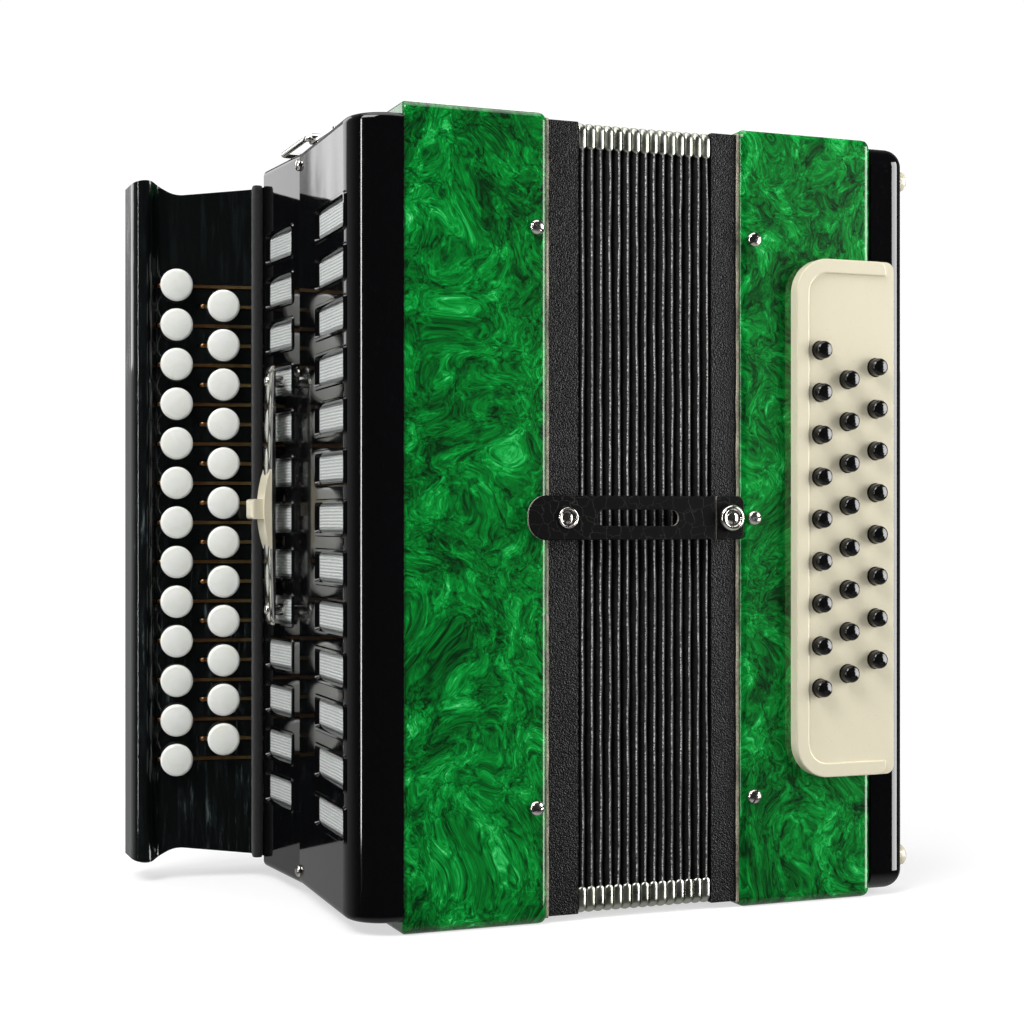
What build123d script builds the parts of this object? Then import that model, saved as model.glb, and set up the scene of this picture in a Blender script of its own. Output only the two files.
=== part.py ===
"""Two-row button accordion, standing upright on its casework.

X runs along the bellows, from the treble side to the bass side. Y runs from the front, which
faces the listener, to the back, which faces the player. Z is up. Sizes are in millimetres.

The parts are drawn from the front bottom corner of the treble casework, and are moved to the
part's own origin, the middle of its footprint, when they are written.
"""
from build123d import *
import math
import os

# ---- casework ----
height = 327.0                  # both caseworks, and the whole instrument
depth = 170.0                   # front to back
wall = 8.0                      # plywood walls under the celluloid
case_edge = 4.0                 # rounding of the long casework edges
bellows_rim = 3.0               # rounding of the casework's rim beside the bellows
cover_rim = 1.8                 # and beside the treble cover
end_rim = 3.6                   # and at the bass end
middle = height / 2

# ---- stations along the bellows axis ----
treble_end = 61.6               # treble casework runs from 0 to here
treble_frame_end = 75.9         # then the treble bellows frame
bass_frame_start = 136.8        # then the folds, up to the bass bellows frame
bass_start = 149.4              # then the bass casework
bass_end = 213.4
cover_end = 232.2               # then the bass end cover

# ---- origin ----
middle_x = 95.95
middle_y = 83.15

# ---- bellows ----
folds = 15
frame_inset = 2.6               # the frames sit this far inside the casework outline
frame_wall = 9.0
fold_inset = 2.9
fold_depth = 15.0
cap_leg = 10.5
cap_skin = 0.5

# ---- treble cover ----
cover_half_height = 158.4
cover_skin = 1.6
cover_front_radius = 16.0
cover_edge_radius = 3.0
cover_back = 135.0
crease_y = 89.0
face_front_x = -20.2            # where the front panel would meet the front plane
face_crease_x = -17.0
face_back_x = -21.0
window_pitch = 20.2
window_rows = 13
window_height = 11.0
front_window = (15.0, 59.0)
back_window = (98.5, 130.0)
bezel_margin = 2.6
bezel_proud = 0.6

# ---- fingerboard ----
board_start_x = -19.5           # the fingerboard is measured outwards from this plane
board_y = 139.0                 # its surface there
board_tilt = 10.0               # the outer edge leans back
board_reach = 59.0
board_skin = 3.0
board_half_height = 152.2
board_middle = middle - 1.4     # the board sits a little low on the casework
board_dip = 4.2                 # its ends dip before the lip
board_crest = 0.8

# ---- treble keys ----
key_pitch = 17.85
key_drop = 1.9                  # the keyboard sits a little below the middle
outer_keys = 13
inner_keys = 12
outer_key_reach = 39.3
inner_key_reach = 18.6
button_radius = 7.3
button_thickness = 3.4
button_gap = 3.2                # from the fingerboard to the underside of a button
lever_thickness = 1.4
lever_proud = 0.5
axle_x = -8.0
axle_y = 143.0
axle_radius = 1.5
running_gap = 0.05
deck_front_x = 4.0
deck_thickness = 6.0
pallet_length = 30.0
pallet_width = 13.6
outer_pallet_y = 56.0
inner_pallet_y = 99.0

# ---- register ----
register_y = (104.0, 118.0)
register_x = -23.4
register_skin = 1.2
register_middle = middle + 10.0
register_length = 114.0
knob_rest = -6.0                # below the middle of its plate
knob_travel = 12.0

# ---- bass side ----
panel_x = (173.4, 221.9)
panel_half_height = 110.0
panel_proud = 4.0
panel_rim_width = 6.0
panel_rim_proud = 1.2
panel_corner = 15.0
bass_button_radius = 3.75
bass_button_proud = 5.6
bass_button_pitch = 17.9
bass_rows = ((185.3, 9, 71.1), (198.7, 8, 59.0), (212.6, 8, 64.6))
bass_cover_half_height = 161.4
air_button_place = (86.0, 238.0)
foot_radius = 4.6
foot_height = 5.0

# ---- straps ----
strap_x = (51.8, 149.2)
strap_hinge_x = 134.6           # the leather folds here when the strap is let go
strap_width = 18.0
strap_thickness = 2.0
strap_clear = 1.0               # from the casework to the underside of the strap
stud_x = 69.0
anchor_x = 142.8
anchor_radius = 5.6
hand_strap_y = (104.0, 146.0)
hand_strap_bulge = 34.8
screw_radius = 3.15
ring_wire = 2.4
eye_radius = 2.4
leaf_thickness = 1.1


def block(x0, x1, y0, y1, z0, z1):
    """A box between two corners."""
    return Pos(x0, y0, z0) * Box(x1 - x0, y1 - y0, z1 - z0, align=(Align.MIN,) * 3)


def rod(x, y, z, direction, radius, length):
    """A cylinder that starts at a point and runs along a row axis, such as "+x"."""
    turn = {"+x": (0, 90, 0), "-x": (0, -90, 0), "+y": (-90, 0, 0), "-y": (90, 0, 0)}
    turn.update({"+z": (0, 0, 0), "-z": (180, 0, 0)})
    upright = Cylinder(radius, length, align=(Align.CENTER, Align.CENTER, Align.MIN))
    return Pos(x, y, z) * Rot(*turn[direction]) * upright


def prism(points, z0, z1):
    """A plan outline in X and Y, extruded from z0 to z1."""
    face = make_face(Polyline(*points, close=True))
    return extrude(Pos(0, 0, z0) * face, amount=z1 - z0, dir=(0, 0, 1))


def slab(face, y0, y1):
    """An outline drawn in X and Z, extruded from y0 to y1."""
    return extrude(Pos(0, y0, 0) * (Plane.XZ * face), amount=y1 - y0, dir=(0, 1, 0))


def upright_ring(x0, x1, inset, thickness):
    """A rectangular frame round the bellows axis."""
    outer = block(x0, x1, inset, depth - inset, inset, height - inset)
    lip = inset + thickness
    return outer - block(x0 - 1, x1 + 1, lip, depth - lip, lip, height - lip)


def long_edges(solid, y0, y1, z0, z1):
    """The edges along X that lie on a rectangle in Y and Z."""
    near = 0.05
    return [e for e in solid.edges().filter_by(Axis.X)
            if min(abs(e.center().Y - y0), abs(e.center().Y - y1)) < near
            and min(abs(e.center().Z - z0), abs(e.center().Z - z1)) < near]


def domed_screw(x, y, z, direction, radius=screw_radius):
    """A domed slotted head that stands on a wall and faces a row direction."""
    rise = radius * 0.55
    head = rod(x, y, z, direction, radius, rise)
    axis = {"x": Axis.X, "y": Axis.Y, "z": Axis.Z}[direction[1]]
    head = fillet(head.edges().sort_by(axis)[0 if direction[0] == "-" else -1], radius * 0.5)
    away = -rise if direction[0] == "-" else rise
    cut, slit = radius * 2.4, radius * 0.28
    place, size = {"x": ((x + away, y, z), (radius * 0.5, slit, cut)),
                   "y": ((x, y + away, z), (slit, radius * 0.5, cut)),
                   "z": ((x, y, z + away), (slit, cut, radius * 0.5))}[direction[1]]
    return head - Pos(*place) * Box(*size)


# ---------------------------------------------------------------- treble side

def casework(x0, x1, low_rim, high_rim):
    """A hollow wooden casing that is open on both bellows-axis sides."""
    shell = upright_ring(x0, x1, 0, wall)
    shell = fillet(long_edges(shell, 0, depth, 0, height), case_edge)
    for end, rim in ((0, low_rim), (-1, high_rim)):
        shell = fillet(shell.faces().sort_by(Axis.X)[end].outer_wire().edges(), rim)
    return shell


def pallet_places():
    """The height, reach and pallet position of each treble key."""
    centre = middle - key_drop
    for n in range(outer_keys):
        yield "outer", n + 1, centre + ((outer_keys - 1) / 2 - n) * key_pitch
    for n in range(inner_keys):
        yield "inner", n + 1, centre + ((inner_keys - 1) / 2 - n) * key_pitch


def treble_deck():
    """The board that the pallets close, with one hole for each key."""
    board = block(deck_front_x, deck_front_x + deck_thickness, wall, depth - wall,
                  wall, height - wall)
    holes = []
    for row, _, z in pallet_places():
        y = outer_pallet_y if row == "outer" else inner_pallet_y
        holes.append(block(deck_front_x - 1, deck_front_x + deck_thickness + 1,
                           y - 11, y + 11, z - 4.5, z + 4.5))
    return board - holes


def treble_reed_block():
    """Two upright wooden blocks behind the deck, with a chamber for each key."""
    start = deck_front_x + deck_thickness
    blocks = []
    for row, y in (("outer", outer_pallet_y), ("inner", inner_pallet_y)):
        body = block(start, start + 44, y - 14, y + 14, 24, height - 24)
        chambers = [block(start - 1, start + 36, y - 10, y + 10, z - 4.5, z + 4.5)
                    for r, _, z in pallet_places() if r == row]
        blocks.append(body - chambers)
    return blocks


def face_x(y):
    """Where the outer face of the treble cover lies, which is creased like a shallow valley."""
    if y < crease_y:
        return face_front_x + (face_crease_x - face_front_x) * y / crease_y
    along = (y - crease_y) / (cover_back - crease_y)
    return face_crease_x + (face_back_x - face_crease_x) * along


def window_plane(span, z):
    """A plane on the cover's face at the middle of a window, facing outwards."""
    y0, y1 = span
    run = Vector(face_x(y1) - face_x(y0), y1 - y0, 0).normalized()
    y = (y0 + y1) / 2
    return Plane(origin=(face_x(y), y, z), x_dir=run, z_dir=(-run.Y, run.X, 0))


def windows():
    """The plane, length and height of every window."""
    for n in range(window_rows):
        z = middle + ((window_rows - 1) / 2 - n) * window_pitch
        for span in (front_window, back_window):
            yield window_plane(span, z), span[1] - span[0]


def treble_grille():
    """The moulded cover over the pallets: a creased face with two columns of framed windows."""
    low, high = middle - cover_half_height, middle + cover_half_height
    outline = ((0, 0), (face_front_x, 0), (face_crease_x, crease_y),
               (face_back_x, cover_back), (0, cover_back))
    outer = prism(outline, low, high)
    corner = outer.edges().filter_by(Axis.Z).sort_by(lambda e: (e.center() - Vector(
        face_front_x, 0, middle)).length)[0]
    outer = fillet(corner, cover_front_radius)
    rims = [e for f in (outer.faces().sort_by(Axis.Z)[0], outer.faces().sort_by(Axis.Z)[-1])
            for e in f.edges()
            if abs(e.center().X) > 0.5 and abs(e.center().Y - cover_back) > 0.5
            or e.center().Y < 0.5]
    outer = fillet(rims, cover_edge_radius)
    skin = cover_skin
    hollow = prism(((1, skin), (face_front_x + skin, skin), (face_crease_x + skin, crease_y),
                    (face_back_x + skin, cover_back + 1), (1, cover_back + 1)),
                   low + skin, high - skin)
    corner = hollow.edges().filter_by(Axis.Z).sort_by(lambda e: (e.center() - Vector(
        face_front_x + skin, skin, middle)).length)[0]
    hollow = fillet(corner, cover_front_radius - skin)
    bezels, cuts = [], []
    for plane, length in windows():
        frame = RectangleRounded(length + 2 * bezel_margin, window_height + 2 * bezel_margin, 2.4)
        bezels.append(extrude(plane.offset(-0.4) * frame, amount=bezel_proud + 0.4, taper=40))
        mouth = RectangleRounded(length + 1.8, window_height + 1.8, 1.6)
        cuts.append(extrude(plane.offset(bezel_proud + 0.1) * mouth, amount=-2.0, taper=28))
        hole = RectangleRounded(length, window_height, 1.0)
        cuts.append(extrude(plane.offset(-8) * hole, amount=8.5))
    return outer + bezels - hollow - cuts


def grille_cloth():
    """Two strips of cloth glued behind the window columns."""
    reach = (window_rows - 1) / 2 * window_pitch + window_height
    strips = []
    for span in (front_window, back_window):
        plane = window_plane(span, middle).offset(-cover_skin - 0.4)
        sheet = Rectangle(span[1] - span[0] + 2, 2 * reach)
        strips.append(extrude(plane * sheet, amount=-0.6))
    return strips


def board_top(reach):
    """The fingerboard's surface, this far out from its root."""
    return board_y + reach * math.tan(math.radians(board_tilt))


def fingerboard():
    """The long hollow board that carries the buttons, with a raised outer lip."""
    root, outer = face_back_x - 0.3, board_start_x - board_reach
    flat_end = board_start_x - 46
    flat_y = board_top(46)
    lip = (board_start_x - 53.5, flat_y - 4.2)
    front = Polyline((0, cover_back + 0.3), (root, cover_back + 0.3), (root, board_top(1.8)),
                     (flat_end, flat_y))
    rise = Spline((flat_end, flat_y), lip, tangents=(Vector(-1, 0.176, 0), Vector(-1, 0, 0)))
    nose = Spline(lip, (outer, flat_y + 3.5), tangents=(Vector(-1, 0, 0), Vector(0, 1, 0)))
    back = Polyline((outer, flat_y + 3.5), (outer, depth - 5), (outer + 5, depth), (0, depth),
                    (0, cover_back + 0.3))
    plan = make_face([front, rise, nose, back])
    board = extrude(Pos(0, 0, board_middle - 160) * plan, amount=320, dir=(0, 0, 1))
    dip, crest = board_half_height - board_dip, board_half_height + board_crest
    sag = (board_start_x - 36, dip)
    slope = (dip - board_half_height) / 36
    top = Spline(sag, (board_start_x - 51, crest), (outer, crest - 0.8),
                 tangents=(Vector(-1, slope, 0), Vector(-1, -0.35, 0)))
    side = make_face([top, Polyline((outer, crest - 0.8), (outer, -1), (5, -1),
                                    (5, board_half_height),
                                    (board_start_x, board_half_height), sag)])
    upper = slab(side, 0, depth + 20)
    lower = mirror(upper, about=Plane.XY)
    board = board & (Pos(0, 0, board_middle) * (upper + lower))
    skin = board_skin
    inner = prism(((1, 0), (root + skin, 0), (root + skin, board_top(-1) + skin + 0.6),
                   (flat_end, flat_y + skin), (outer + 5, flat_y + skin + 1.5),
                   (outer + 5, depth - skin), (1, depth - skin)),
                  board_middle - dip + skin, board_middle + dip - skin)
    slots = [block(board_start_x - slot_reach(row) - 0.8, root + skin + 1,
                   cover_back - 1, board_top(0) + 14, z - 1.0, z + 1.0)
             for row, _, z in pallet_places()]
    return board - inner - slots


def slot_reach(row):
    """How far out from the root a lever ends."""
    return 47.6 if row == "outer" else inner_key_reach + button_radius + 3.0


def treble_key(row, z):
    """One key: a flat lever with a button on one arm, and a pallet on the other."""
    reach = outer_key_reach if row == "outer" else inner_key_reach
    pallet_y = outer_pallet_y if row == "outer" else inner_pallet_y
    slope = math.tan(math.radians(board_tilt))
    half = lever_thickness / 2

    def on_board(out, rise):
        lean = math.radians(board_tilt)
        return (board_start_x - out - rise * math.sin(lean),
                board_y + out * slope - rise * math.cos(lean))

    end, hub_out = slot_reach(row), board_start_x - axle_x
    tab = button_gap
    button_arm = prism((on_board(end, lever_proud), on_board(reach + 3, lever_proud),
                        on_board(reach + 3, tab), on_board(reach - 3, tab),
                        on_board(reach - 3, lever_proud), on_board(hub_out, lever_proud),
                        (axle_x, axle_y + 2.5), on_board(end, -3.6)), z - half, z + half)
    near, far = -4.2, -1.2
    pallet_arm = prism(((axle_x - 3, axle_y), (axle_x + 1, axle_y + 3), (far, axle_y - 4),
                        (far, pallet_y - 9), (near, pallet_y - 9), (near, axle_y - 8)),
                       z - half, z + half)
    hub = rod(axle_x, axle_y, z - 2.4, "+z", 3.6, 4.8)
    lever = button_arm + pallet_arm + hub
    lever -= rod(axle_x, axle_y, z - 5, "+z", axle_radius + running_gap, 10)
    width = pallet_width / 2
    pallet = block(far, far + 3.6, pallet_y - pallet_length / 2, pallet_y + pallet_length / 2,
                   z - width, z + width)
    pad = block(far + 3.6, deck_front_x, pallet_y - pallet_length / 2,
                pallet_y + pallet_length / 2, z - width, z + width)
    x, y = on_board(reach, tab)
    disc = Cylinder(button_radius, button_thickness,
                    align=(Align.CENTER, Align.CENTER, Align.MIN))
    disc = fillet(disc.edges().sort_by(Axis.Z)[-1], 1.9)
    disc = fillet(disc.edges().sort_by(Axis.Z)[0], 0.6)
    button = Pos(x, y, z) * Rot(90, 0, -board_tilt) * disc
    return [lever, button, pallet, pad]


def key_axle():
    """The steel rod that all the treble levers turn on."""
    reach = board_half_height - board_dip - board_skin
    return rod(axle_x, axle_y, board_middle - reach, "+z", axle_radius, 2 * reach)


def lever_felt_strip():
    """The felt strip that lies over the levers where they enter the cover."""
    x1 = face_back_x - 0.3
    y1 = board_top(2) - lever_proud - 0.4
    half = board_half_height + 0.4
    strip = block(x1 - 4.6, x1, y1 - 4.4, y1, board_middle - half, board_middle + half)
    return fillet(strip.edges().filter_by(Axis.Z).sort_by(Axis.Y)[:2], 1.8)


def register_plate():
    """The slotted metal strip that the register knob slides on, on two low posts."""
    y0, y1 = register_y
    half = register_length / 2
    plate = block(register_x - register_skin, register_x, y0, y1,
                  register_middle - half, register_middle + half)
    plate = fillet(plate.edges().filter_by(Axis.X), 3)
    y = (y0 + y1) / 2
    plate -= block(register_x - 5, register_x + 5, y - 1.5, y + 1.5,
                   register_middle + knob_rest - 3.5,
                   register_middle + knob_rest + knob_travel + 3.5)
    for side in (-1, 1):
        z = register_middle + side * (half - 6.6)
        plate += rod(register_x, y, z, "+x", 2.6, face_x(y) - register_x)
    return plate


def register_knob():
    """A lens-shaped slider with a finger block in its middle."""
    z = register_middle + knob_rest
    y = sum(register_y) / 2
    back = register_x - register_skin - 0.3
    half = 17.5
    profile = make_face([Polyline((back - 0.9, half), (back, half), (back, -half),
                                  (back - 0.9, -half)),
                         ThreePointArc((back - 0.9, -half), (back - 3.8, 0),
                                       (back - 0.9, half))])
    base = Pos(0, 0, z) * slab(profile, y - 6.5, y + 6.5)
    grip = block(back - 9.2, back - 2, y - 5.2, y + 5.2, z - 4.4, z + 4.4)
    grip = fillet(grip.edges().sort_by(Axis.X)[:4], 1.6)
    stem = block(back - 1, register_x + 1.2, y - 1.2, y + 1.2, z - 3, z + 3)
    return base + grip + stem


def bracket_leaf(width):
    """A strap bracket's leaf, rolled into an eye along X at the origin, lying towards -Y."""
    leaf = block(-width / 2, width / 2, -34, 0, -eye_radius, -eye_radius + leaf_thickness)
    leaf = fillet(leaf.edges().filter_by(Axis.Z).sort_by(Axis.Y)[:2], 2.5)
    eye = Rot(0, 90, 0) * Cylinder(eye_radius, width)
    bore = Rot(0, 90, 0) * Cylinder(ring_wire / 2 + running_gap, width + 2)
    return eye + leaf - bore


def strap_ring(width, length):
    """A rectangular wire ring that pivots on the X axis at the origin and lies towards +Y."""
    rail = (width - ring_wire) / 2
    path = RectangleRounded(2 * rail, length, 1.6).wire()
    section = Plane(origin=(rail, 0, 0), z_dir=(0, 1, 0)) * Circle(ring_wire / 2)
    return Pos(0, length / 2, 0) * sweep(section, path=path)


def ring_top_pivot():
    """The axis of the upper strap ring."""
    return (-13.5, 73.0, middle + cover_half_height + eye_radius)


def ring_back_pivot():
    """The axis of the lower strap ring, on the back of the treble casework."""
    return (30.0, depth + eye_radius, 46.0)


def strap_brackets():
    """One bracket on top of the treble cover, and one low on the back of the casework."""
    top = Pos(*ring_top_pivot()) * bracket_leaf(6.4)
    back = Pos(*ring_back_pivot()) * Rot(-90, 0, 0) * bracket_leaf(14.0)
    return [top, back]


def bracket_screws():
    """The screws through the bracket leaves."""
    sink = eye_radius - leaf_thickness
    x, y, z = ring_top_pivot()
    screws = [domed_screw(x, y - along, z - sink, "+z", 2.0) for along in (12, 26)]
    x, y, z = ring_back_pivot()
    screws += [domed_screw(x, y - sink, z + along, "+y", 2.4) for along in (12, 26)]
    return screws


def frame_screws(x, heights):
    """Domed screws near a casework edge, on the front and on the back."""
    return [screw for z in heights
            for screw in (domed_screw(x, 0, z, "-y"), domed_screw(x, depth, z, "+y"))]


def treble_screws():
    """The screws that hold the treble bellows frame, and the two on the treble cover."""
    screws = frame_screws(56.5, (middle - 116.5, middle + 116.5))
    for side in (-1, 1):
        screws.append(domed_screw(face_x(crease_y + 2.6), crease_y, middle + side * 152.5,
                                  "-x", 2.6))
    return screws


def bass_screws():
    """The screws that hold the bass bellows frame."""
    return frame_screws(155.6, (middle - 117, middle, middle + 117))


# ---------------------------------------------------------------- bellows

def fold_places():
    """The X middle of every fold."""
    pitch = (bass_frame_start - treble_frame_end) / folds
    return [treble_frame_end + (n + 0.5) * pitch for n in range(folds)], pitch


def bellows_folds():
    """The pleated card and leather between the two frames."""
    places, pitch = fold_places()
    neck = upright_ring(treble_frame_end, bass_frame_start, fold_inset + 6, 2.0)
    ridges = [upright_ring(x - pitch * 0.36, x + pitch * 0.36, fold_inset, fold_depth)
              for x in places]
    return neck + ridges


def bellows_corner_caps():
    """A metal cap on each corner of each fold."""
    places, pitch = fold_places()
    near, far = fold_inset - cap_skin, fold_inset + cap_leg
    caps = []
    for x in places:
        skin = upright_ring(x - pitch * 0.4, x + pitch * 0.4, near, cap_skin)
        for y in (near, depth - far):
            for z in (near, height - far):
                corner = block(x - pitch, x + pitch, y, y + far - near, z, z + far - near)
                caps.append(skin & corner)
    return caps


# ---------------------------------------------------------------- bass side

def bass_casework():
    """The bass casing, with a slot in its front wall for the button rods."""
    shell = casework(bass_start, bass_end, bellows_rim, end_rim)
    reach = bass_rows[0][2] + 8
    return shell - block(181.5, bass_end + 1, -1, wall + 1, middle - reach, middle + reach)


def bass_end_cover():
    """The moulded cap that closes the bass end."""
    low, high = middle - bass_cover_half_height, middle + bass_cover_half_height
    inset = 0.5
    outer = block(bass_end, cover_end, inset, depth - inset, low, high)
    rims = outer.edges().filter_by(Axis.X) + outer.faces().sort_by(Axis.X)[-1].edges()
    outer = fillet(rims, 8.5)
    skin = cover_skin
    hollow = block(bass_end - 1, cover_end - skin, inset + skin, depth - inset - skin,
                   low + skin, high - skin)
    hollow = fillet(hollow.edges().filter_by(Axis.X)
                    + hollow.faces().sort_by(Axis.X)[-1].edges(), 5.5)
    reach = bass_rows[0][2] + 8
    y, z = air_button_place
    return (outer - hollow - block(bass_end - 1, 221, -1, 6, middle - reach, middle + reach)
            - rod(cover_end - 6, y, z, "+x", 4.3, 8))


def bass_button_places(row):
    """The X and Z of each button in a row, from the top."""
    x, count, top = bass_rows[row]
    return [(x, middle + top - n * bass_button_pitch) for n in range(count)]


def bass_panel():
    """The moulded panel that guides the bass buttons, with a raised rim on three sides."""
    x0, x1 = panel_x
    half = panel_half_height
    plate = block(x0, x1, -panel_proud, 0, middle - half, middle + half)
    plate = fillet(plate.edges().filter_by(Axis.Y).sort_by(Axis.X)[:2], panel_corner)
    plate = fillet(plate.edges().filter_by(Axis.Y).sort_by(Axis.X)[-2:], 4)
    rim = block(x0, x1 - 4.5, -panel_proud - panel_rim_proud, -panel_proud,
                middle - half, middle + half)
    rim = fillet(rim.edges().filter_by(Axis.Y).sort_by(Axis.X)[:2], panel_corner)
    rim = fillet(rim.edges().filter_by(Axis.Y).sort_by(Axis.X)[-2:], 4)
    width = panel_rim_width
    field = block(x0 + width, x1 + 5, -panel_proud - 5, -panel_proud,
                  middle - half + width, middle + half - width)
    field = fillet(field.edges().filter_by(Axis.Y).sort_by(Axis.X)[:2], panel_corner - width)
    panel = plate + (rim - field)
    front = panel.faces().sort_by(Axis.Y)[0]
    panel = fillet(front.edges(), 0.55)
    holes = [rod(x, -8, z, "+y", bass_button_radius + 0.35, 10)
             for row in range(len(bass_rows)) for x, z in bass_button_places(row)]
    return panel - holes


def bass_row(row):
    """One row of domed buttons, each on the rod that goes into the casework."""
    buttons = []
    for x, z in bass_button_places(row):
        tip = -panel_proud - bass_button_proud
        button = rod(x, tip, z, "+y", bass_button_radius, 14)
        button = fillet(button.edges().sort_by(Axis.Y)[0], 1.9)
        buttons.append(button + rod(x, tip + 14, z, "+y", 1.5, 12))
    return buttons


def bass_deck():
    """The board between the bass mechanism and the bass reeds."""
    board = block(168, 174, wall, depth - wall, wall, height - wall)
    holes = [block(167, 175, y - 9, y + 9, middle + n * 22 - 6, middle + n * 22 + 6)
             for y in (54, 112) for n in range(-5, 6)]
    return board - holes


def bass_reed_block():
    """Two upright wooden blocks on the bellows side of the bass deck."""
    blocks = []
    for y in (54, 112):
        body = block(128, 168, y - 13, y + 13, 34, height - 34)
        chambers = [block(136, 169, y - 9, y + 9, middle + n * 22 - 6, middle + n * 22 + 6)
                    for n in range(-5, 6)]
        blocks.append(body - chambers)
    return blocks


def end_feet():
    """Four feet on the bass end, to set the instrument down on."""
    feet = []
    for y in (12.0, depth - 12.0):
        for side in (-1, 1):
            foot = rod(cover_end, y, middle + side * 148.5, "+x", foot_radius, foot_height)
            feet.append(fillet(foot.edges().sort_by(Axis.X)[-1], 2.2))
    return feet


def air_button():
    """The round button of the air valve, on the bass end."""
    y, z = air_button_place
    cap = rod(cover_end + 3.4, y, z, "+x", 7.5, 3.2)
    cap = fillet(cap.edges().sort_by(Axis.X)[-1], 1.4)
    return cap + rod(cover_end - 9, y, z, "+x", 4.0, 12.5)


def hand_strap():
    """The leather strap that the left hand goes through."""
    thick, reach = 3.0, 128.0
    x0 = cover_end + 0.4
    crest = x0 + hand_strap_bulge
    inner = Spline((x0, -reach), (crest, 0), (x0, reach),
                   tangents=(Vector(0.45, 1, 0), Vector(-0.45, 1, 0)))
    outer = Spline((x0 + thick, reach), (crest + thick, 0), (x0 + thick, -reach),
                   tangents=(Vector(0.45, -1, 0), Vector(-0.45, -1, 0)))
    ends = reach + 14
    low_end = Polyline((x0 + thick, -reach), (x0 + thick, -ends), (x0, -ends), (x0, -reach))
    high_end = Polyline((x0, reach), (x0, ends), (x0 + thick, ends), (x0 + thick, reach))
    face = make_face([inner, high_end, outer, low_end])
    return Pos(0, 0, middle) * slab(face, *hand_strap_y)


def hand_strap_brackets():
    """The metal bars that clamp the ends of the hand strap, each with two screws."""
    y0, y1 = hand_strap_y
    bars = []
    for side in (-1, 1):
        z = middle + side * 136
        bar = block(cover_end + 3.5, cover_end + 5.3, y0 - 3, y1 + 3, z - 5, z + 5)
        bar = fillet(bar.edges().filter_by(Axis.X), 3)
        bars.append(bar)
        for y in (y0 + 8, y1 - 8):
            bars.append(domed_screw(cover_end + 5.3, y, z, "+x", 2.6))
    return bars


# ---------------------------------------------------------------- bellows straps

def mirror_to_back(shape):
    """The same piece on the back of the instrument."""
    return mirror(shape, about=Plane.XZ.offset(-depth / 2))


def bellows_strap():
    """The leather strap that holds the bellows shut, with its slotted snap cup."""
    y1 = -strap_clear
    y0 = y1 - strap_thickness
    half = strap_width / 2
    band = block(strap_x[0], strap_hinge_x, y0, y1, middle - half, middle + half)
    band = fillet(band.edges().filter_by(Axis.Y).sort_by(Axis.X)[:2], half - 1)
    fold = rod(strap_hinge_x, (y0 + y1) / 2, middle - half, "+z", strap_thickness / 2,
               strap_width)
    slot = block(82.0, 118.9, y0 - 1, y1 + 1, middle - 3.3, middle + 3.3)
    slot = fillet(slot.edges().filter_by(Axis.Y), 3)
    band = band + fold - slot
    band -= rod(stud_x, y0 - 1, middle, "+y", 3.9, 6)
    ring = rod(stud_x, y0 - 0.8, middle, "+y", 4.7, 0.8)
    ring = fillet(ring.edges().sort_by(Axis.Y)[0], 0.5)
    sleeve = rod(stud_x, y0, middle, "+y", 3.9, strap_thickness)
    floor = y0 + 0.9
    ring = (ring + sleeve) - rod(stud_x, floor, middle, "-y", 3.4, 6)
    ring -= Pos(stud_x, floor, middle) * Rot(0, 38, 0) * Box(0.8, 0.8, 5.6)
    return [band, ring]


def strap_stud():
    """The stud that the strap's cup snaps over, on the treble bellows frame."""
    stud = rod(stud_x, frame_inset, middle, "-y", 2.3, frame_inset + strap_clear - 0.35)
    return fillet(stud.edges().sort_by(Axis.Y)[0], 0.6)


def strap_anchor():
    """The cupped cap and screw that hold the strap's other end to the bass bellows frame."""
    y0 = -strap_clear - strap_thickness - 0.3
    cap = rod(anchor_x, y0, middle, "-y", anchor_radius, 2.6)
    cap = fillet(cap.edges().sort_by(Axis.Y)[0], 1.9)
    cap -= rod(anchor_x, y0 - 1.2, middle, "-y", 3.4, 3)
    screw = rod(anchor_x, y0 - 1.2, middle, "-y", 2.9, 0.9)
    screw -= Pos(anchor_x, y0 - 2.1, middle) * Box(0.7, 0.9, 6.5)
    post = rod(anchor_x, frame_inset, middle, "-y", 1.9, frame_inset - y0)
    return [cap + post, screw]


def strap_tail():
    """The end of a bellows strap that stays clamped under its cap."""
    y1, half = -strap_clear, strap_width / 2
    tail = block(strap_hinge_x + 1.9, strap_x[1], y1 - strap_thickness, y1,
                 middle - half, middle + half)
    tail = fillet(tail.edges().filter_by(Axis.Y).sort_by(Axis.X)[-2:], 2.0)
    return tail - rod(anchor_x, -9, middle, "+y", 2.0, 12)


def write(name, shape):
    """Write one node, moved to the part's origin."""
    solids = shape if isinstance(shape, list) else [shape]
    placed = [Pos(-middle_x, -middle_y, 0) * s for s in solids]
    whole = placed[0] if len(placed) == 1 else Compound(children=placed)
    export_step(whole, f"parts/{name}.step")


def strap_rings():
    """The two wire rings that a shoulder strap clips to."""
    top = Pos(*ring_top_pivot()) * strap_ring(12.4, 38.0)
    back = Pos(*ring_back_pivot()) * Rot(-90, 0, 0) * strap_ring(24.0, 36.0)
    return top, back


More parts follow.
